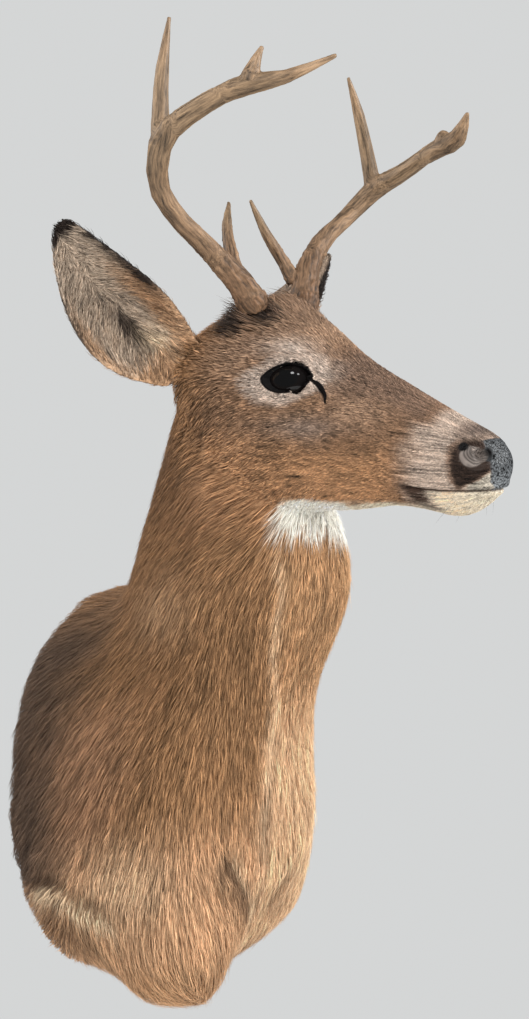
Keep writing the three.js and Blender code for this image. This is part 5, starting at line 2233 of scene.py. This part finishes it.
class HangerFinish(Finish):
    """Zinc-plated sheet with fine brush marks."""

    def __init__(self) -> None:
        """Lays the brush marks."""
        super().__init__("zinc_plate", 0.35, Metallic=1.0)
        marks = self.speckle(self.place((40.0, 900.0, 2200.0)), 1.0, 2.0)
        colour = self.scaled((0.62, 0.63, 0.64), 0.85 + 0.3 * marks)
        self.drive(Base_Color=colour, Roughness=0.26 + 0.2 * marks)


# ---- camera, light and floor ----
@dataclass(frozen=True)
class Lamp:
    """One round soft lamp that faces the shoulders; it may be left out of mirrored light."""

    name: str
    at: tuple[float, float, float]
    size: float
    power: float
    mirrored_too: bool = True

    def build(self) -> None:
        """Makes the lamp."""
        data = bpy.data.lights.new(self.name, "AREA")
        data.shape = "DISK"
        data.size = self.size
        data.energy = self.power
        lamp = linked(self.name, data)
        lamp.location = self.at
        lamp.visible_glossy = self.mirrored_too
        lamp.rotation_euler = (LAMP_TARGET - Vector(self.at)).to_track_quat("-Z", "Y").to_euler()


LAMP_TARGET = Vector((-0.05, -0.25, 0.15))
LAMPS = (
    Lamp("key_lamp", (1.7, -2.3, 1.4), 1.7, 54.0),
    Lamp("bounce_lamp", (0.7, -2.3, -0.9), 1.8, 26.0, mirrored_too=False),
    Lamp("fill_lamp", (-2.3, -1.8, 1.1), 2.2, 32.0, mirrored_too=False),
    Lamp("wall_side_lamp", (-1.7, 1.3, 1.5), 1.6, 22.0),
    Lamp("catch_lamp", (-1.6, -1.6, 1.35), 0.5, 7.0),
    Lamp("low_catch_lamp", (-0.9, -2.0, 0.95), 0.32, 2.6),
)


@dataclass
class Studio:
    """The camera, the soft lamps, the pale surroundings and the floor."""

    camera_at: tuple[float, float, float] = (-0.9519, -1.4964, -0.0388)
    bearing: float = 37.273  # degrees from the way into the wall towards the animal's left
    climb: float = 9.798
    roll: float = 3.696
    lens: float = 59.13
    backdrop: Colour = (0.66, 0.67, 0.67)
    room: Colour = (0.1, 0.1, 0.105)  # what mirrored light sees
    daylight: float = 0.78
    floor_reach: float = 1.3
    floor_drop: float = 1.15  # from the mount's lowest point down to the floor
    floor_steps: int = 64

    def build(self) -> None:
        """Makes everything that isn't part of the object."""
        self._camera()
        self._world()
        for lamp in LAMPS:
            lamp.build()
        self._floor()
        view = bpy.context.scene.view_settings
        view.view_transform = "Standard"

    def _camera(self) -> None:
        """The camera at the animal's right, below the chin, looking up at the head."""
        bearing, climb, roll = (math.radians(a) for a in (self.bearing, self.climb, self.roll))
        level = Vector((math.sin(bearing), math.cos(bearing), 0.0))
        ahead = level * math.cos(climb) + Vector((0.0, 0.0, math.sin(climb)))
        side = Vector((math.cos(bearing), -math.sin(bearing), 0.0))
        up = side.cross(ahead)
        right = side * math.cos(roll) - up * math.sin(roll)
        up = right.cross(ahead)
        data = bpy.data.cameras.new("camera")
        data.lens = self.lens
        data.sensor_width = 36.0
        data.clip_start = 0.05
        camera = linked("camera", data)
        turn = Matrix((right, up, -ahead)).transposed().to_4x4()
        camera.matrix_world = Matrix.Translation(self.camera_at) @ turn
        bpy.context.scene.camera = camera

    def _world(self) -> None:
        """Even light from all round, and a pale backdrop that lights nothing itself."""
        world = bpy.data.worlds.new("surroundings")
        world.use_nodes = True
        bpy.context.scene.world = world
        tree = world.node_tree
        tree.nodes.clear()
        path = tree.nodes.new("ShaderNodeLightPath")
        shown = None
        views = (("", (1.0, 1.0, 1.0), self.daylight), ("Is Glossy Ray", self.room, 1.0),
                 ("Is Camera Ray", self.backdrop, 1.0))
        for ray, colour, strength in views:
            light = tree.nodes.new("ShaderNodeBackground")
            light.inputs["Color"].default_value = (*colour, 1.0)
            light.inputs["Strength"].default_value = strength
            if not ray:
                shown = light.outputs[0]
                continue
            mix = tree.nodes.new("ShaderNodeMixShader")
            for socket, wanted in zip((path.outputs[ray], shown, light.outputs[0]), mix.inputs):
                tree.links.new(socket, wanted)
            shown = mix.outputs[0]
        tree.links.new(shown, tree.nodes.new("ShaderNodeOutputWorld").inputs[0])

    def _floor(self) -> None:
        """A pale round floor, well below, as under a mount that hangs on a wall."""
        low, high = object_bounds()
        centre = (low + high) / 2
        turns = np.arange(self.floor_steps) * 2.0 * np.pi / self.floor_steps
        rim = np.column_stack([centre.x + self.floor_reach * np.cos(turns),
                               centre.y + self.floor_reach * np.sin(turns),
                               np.full(self.floor_steps, low.z - self.floor_drop)])
        floor = mesh_object("floor", rim, [list(range(self.floor_steps))], flat=True)
        finish = Finish("pale_floor", 0.8)
        grain = finish.speckle(finish.place(), 6.0)
        colour = finish.ramp(grain, [(0.3, (0.64, 0.65, 0.65)), (0.7, (0.68, 0.69, 0.69))])
        finish.drive(Base_Color=colour)
        finish.wear(floor)
        floor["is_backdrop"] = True


def main() -> None:
    """Builds every piece in order and reports each one."""
    logging.basicConfig(level=logging.INFO, format="%(name)s: %(message)s")
    Studio().build()
    skin = Skin()
    profile, lie = Profile.of(skin.surface), Lie()
    skin.paint(profile, lie, HideFinish())
    LOG.info("skin has %d triangles", len(skin.triangles))
    antler = AntlerFinish()
    BoardFinish().wear(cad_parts["back_board"])
    HangerFinish().wear(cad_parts["hanger_plate"])
    pieces = Eyes(skin).build() + [whiskers(skin)] + [Antler(side).build(antler) for side in SIDES]
    for piece in pieces + Coat(skin, profile, lie).grow(CoatFinish()):
        LOG.info("%s has %d faces", piece.name, len(piece.data.polygons))


if __name__ == "__main__":
    main()
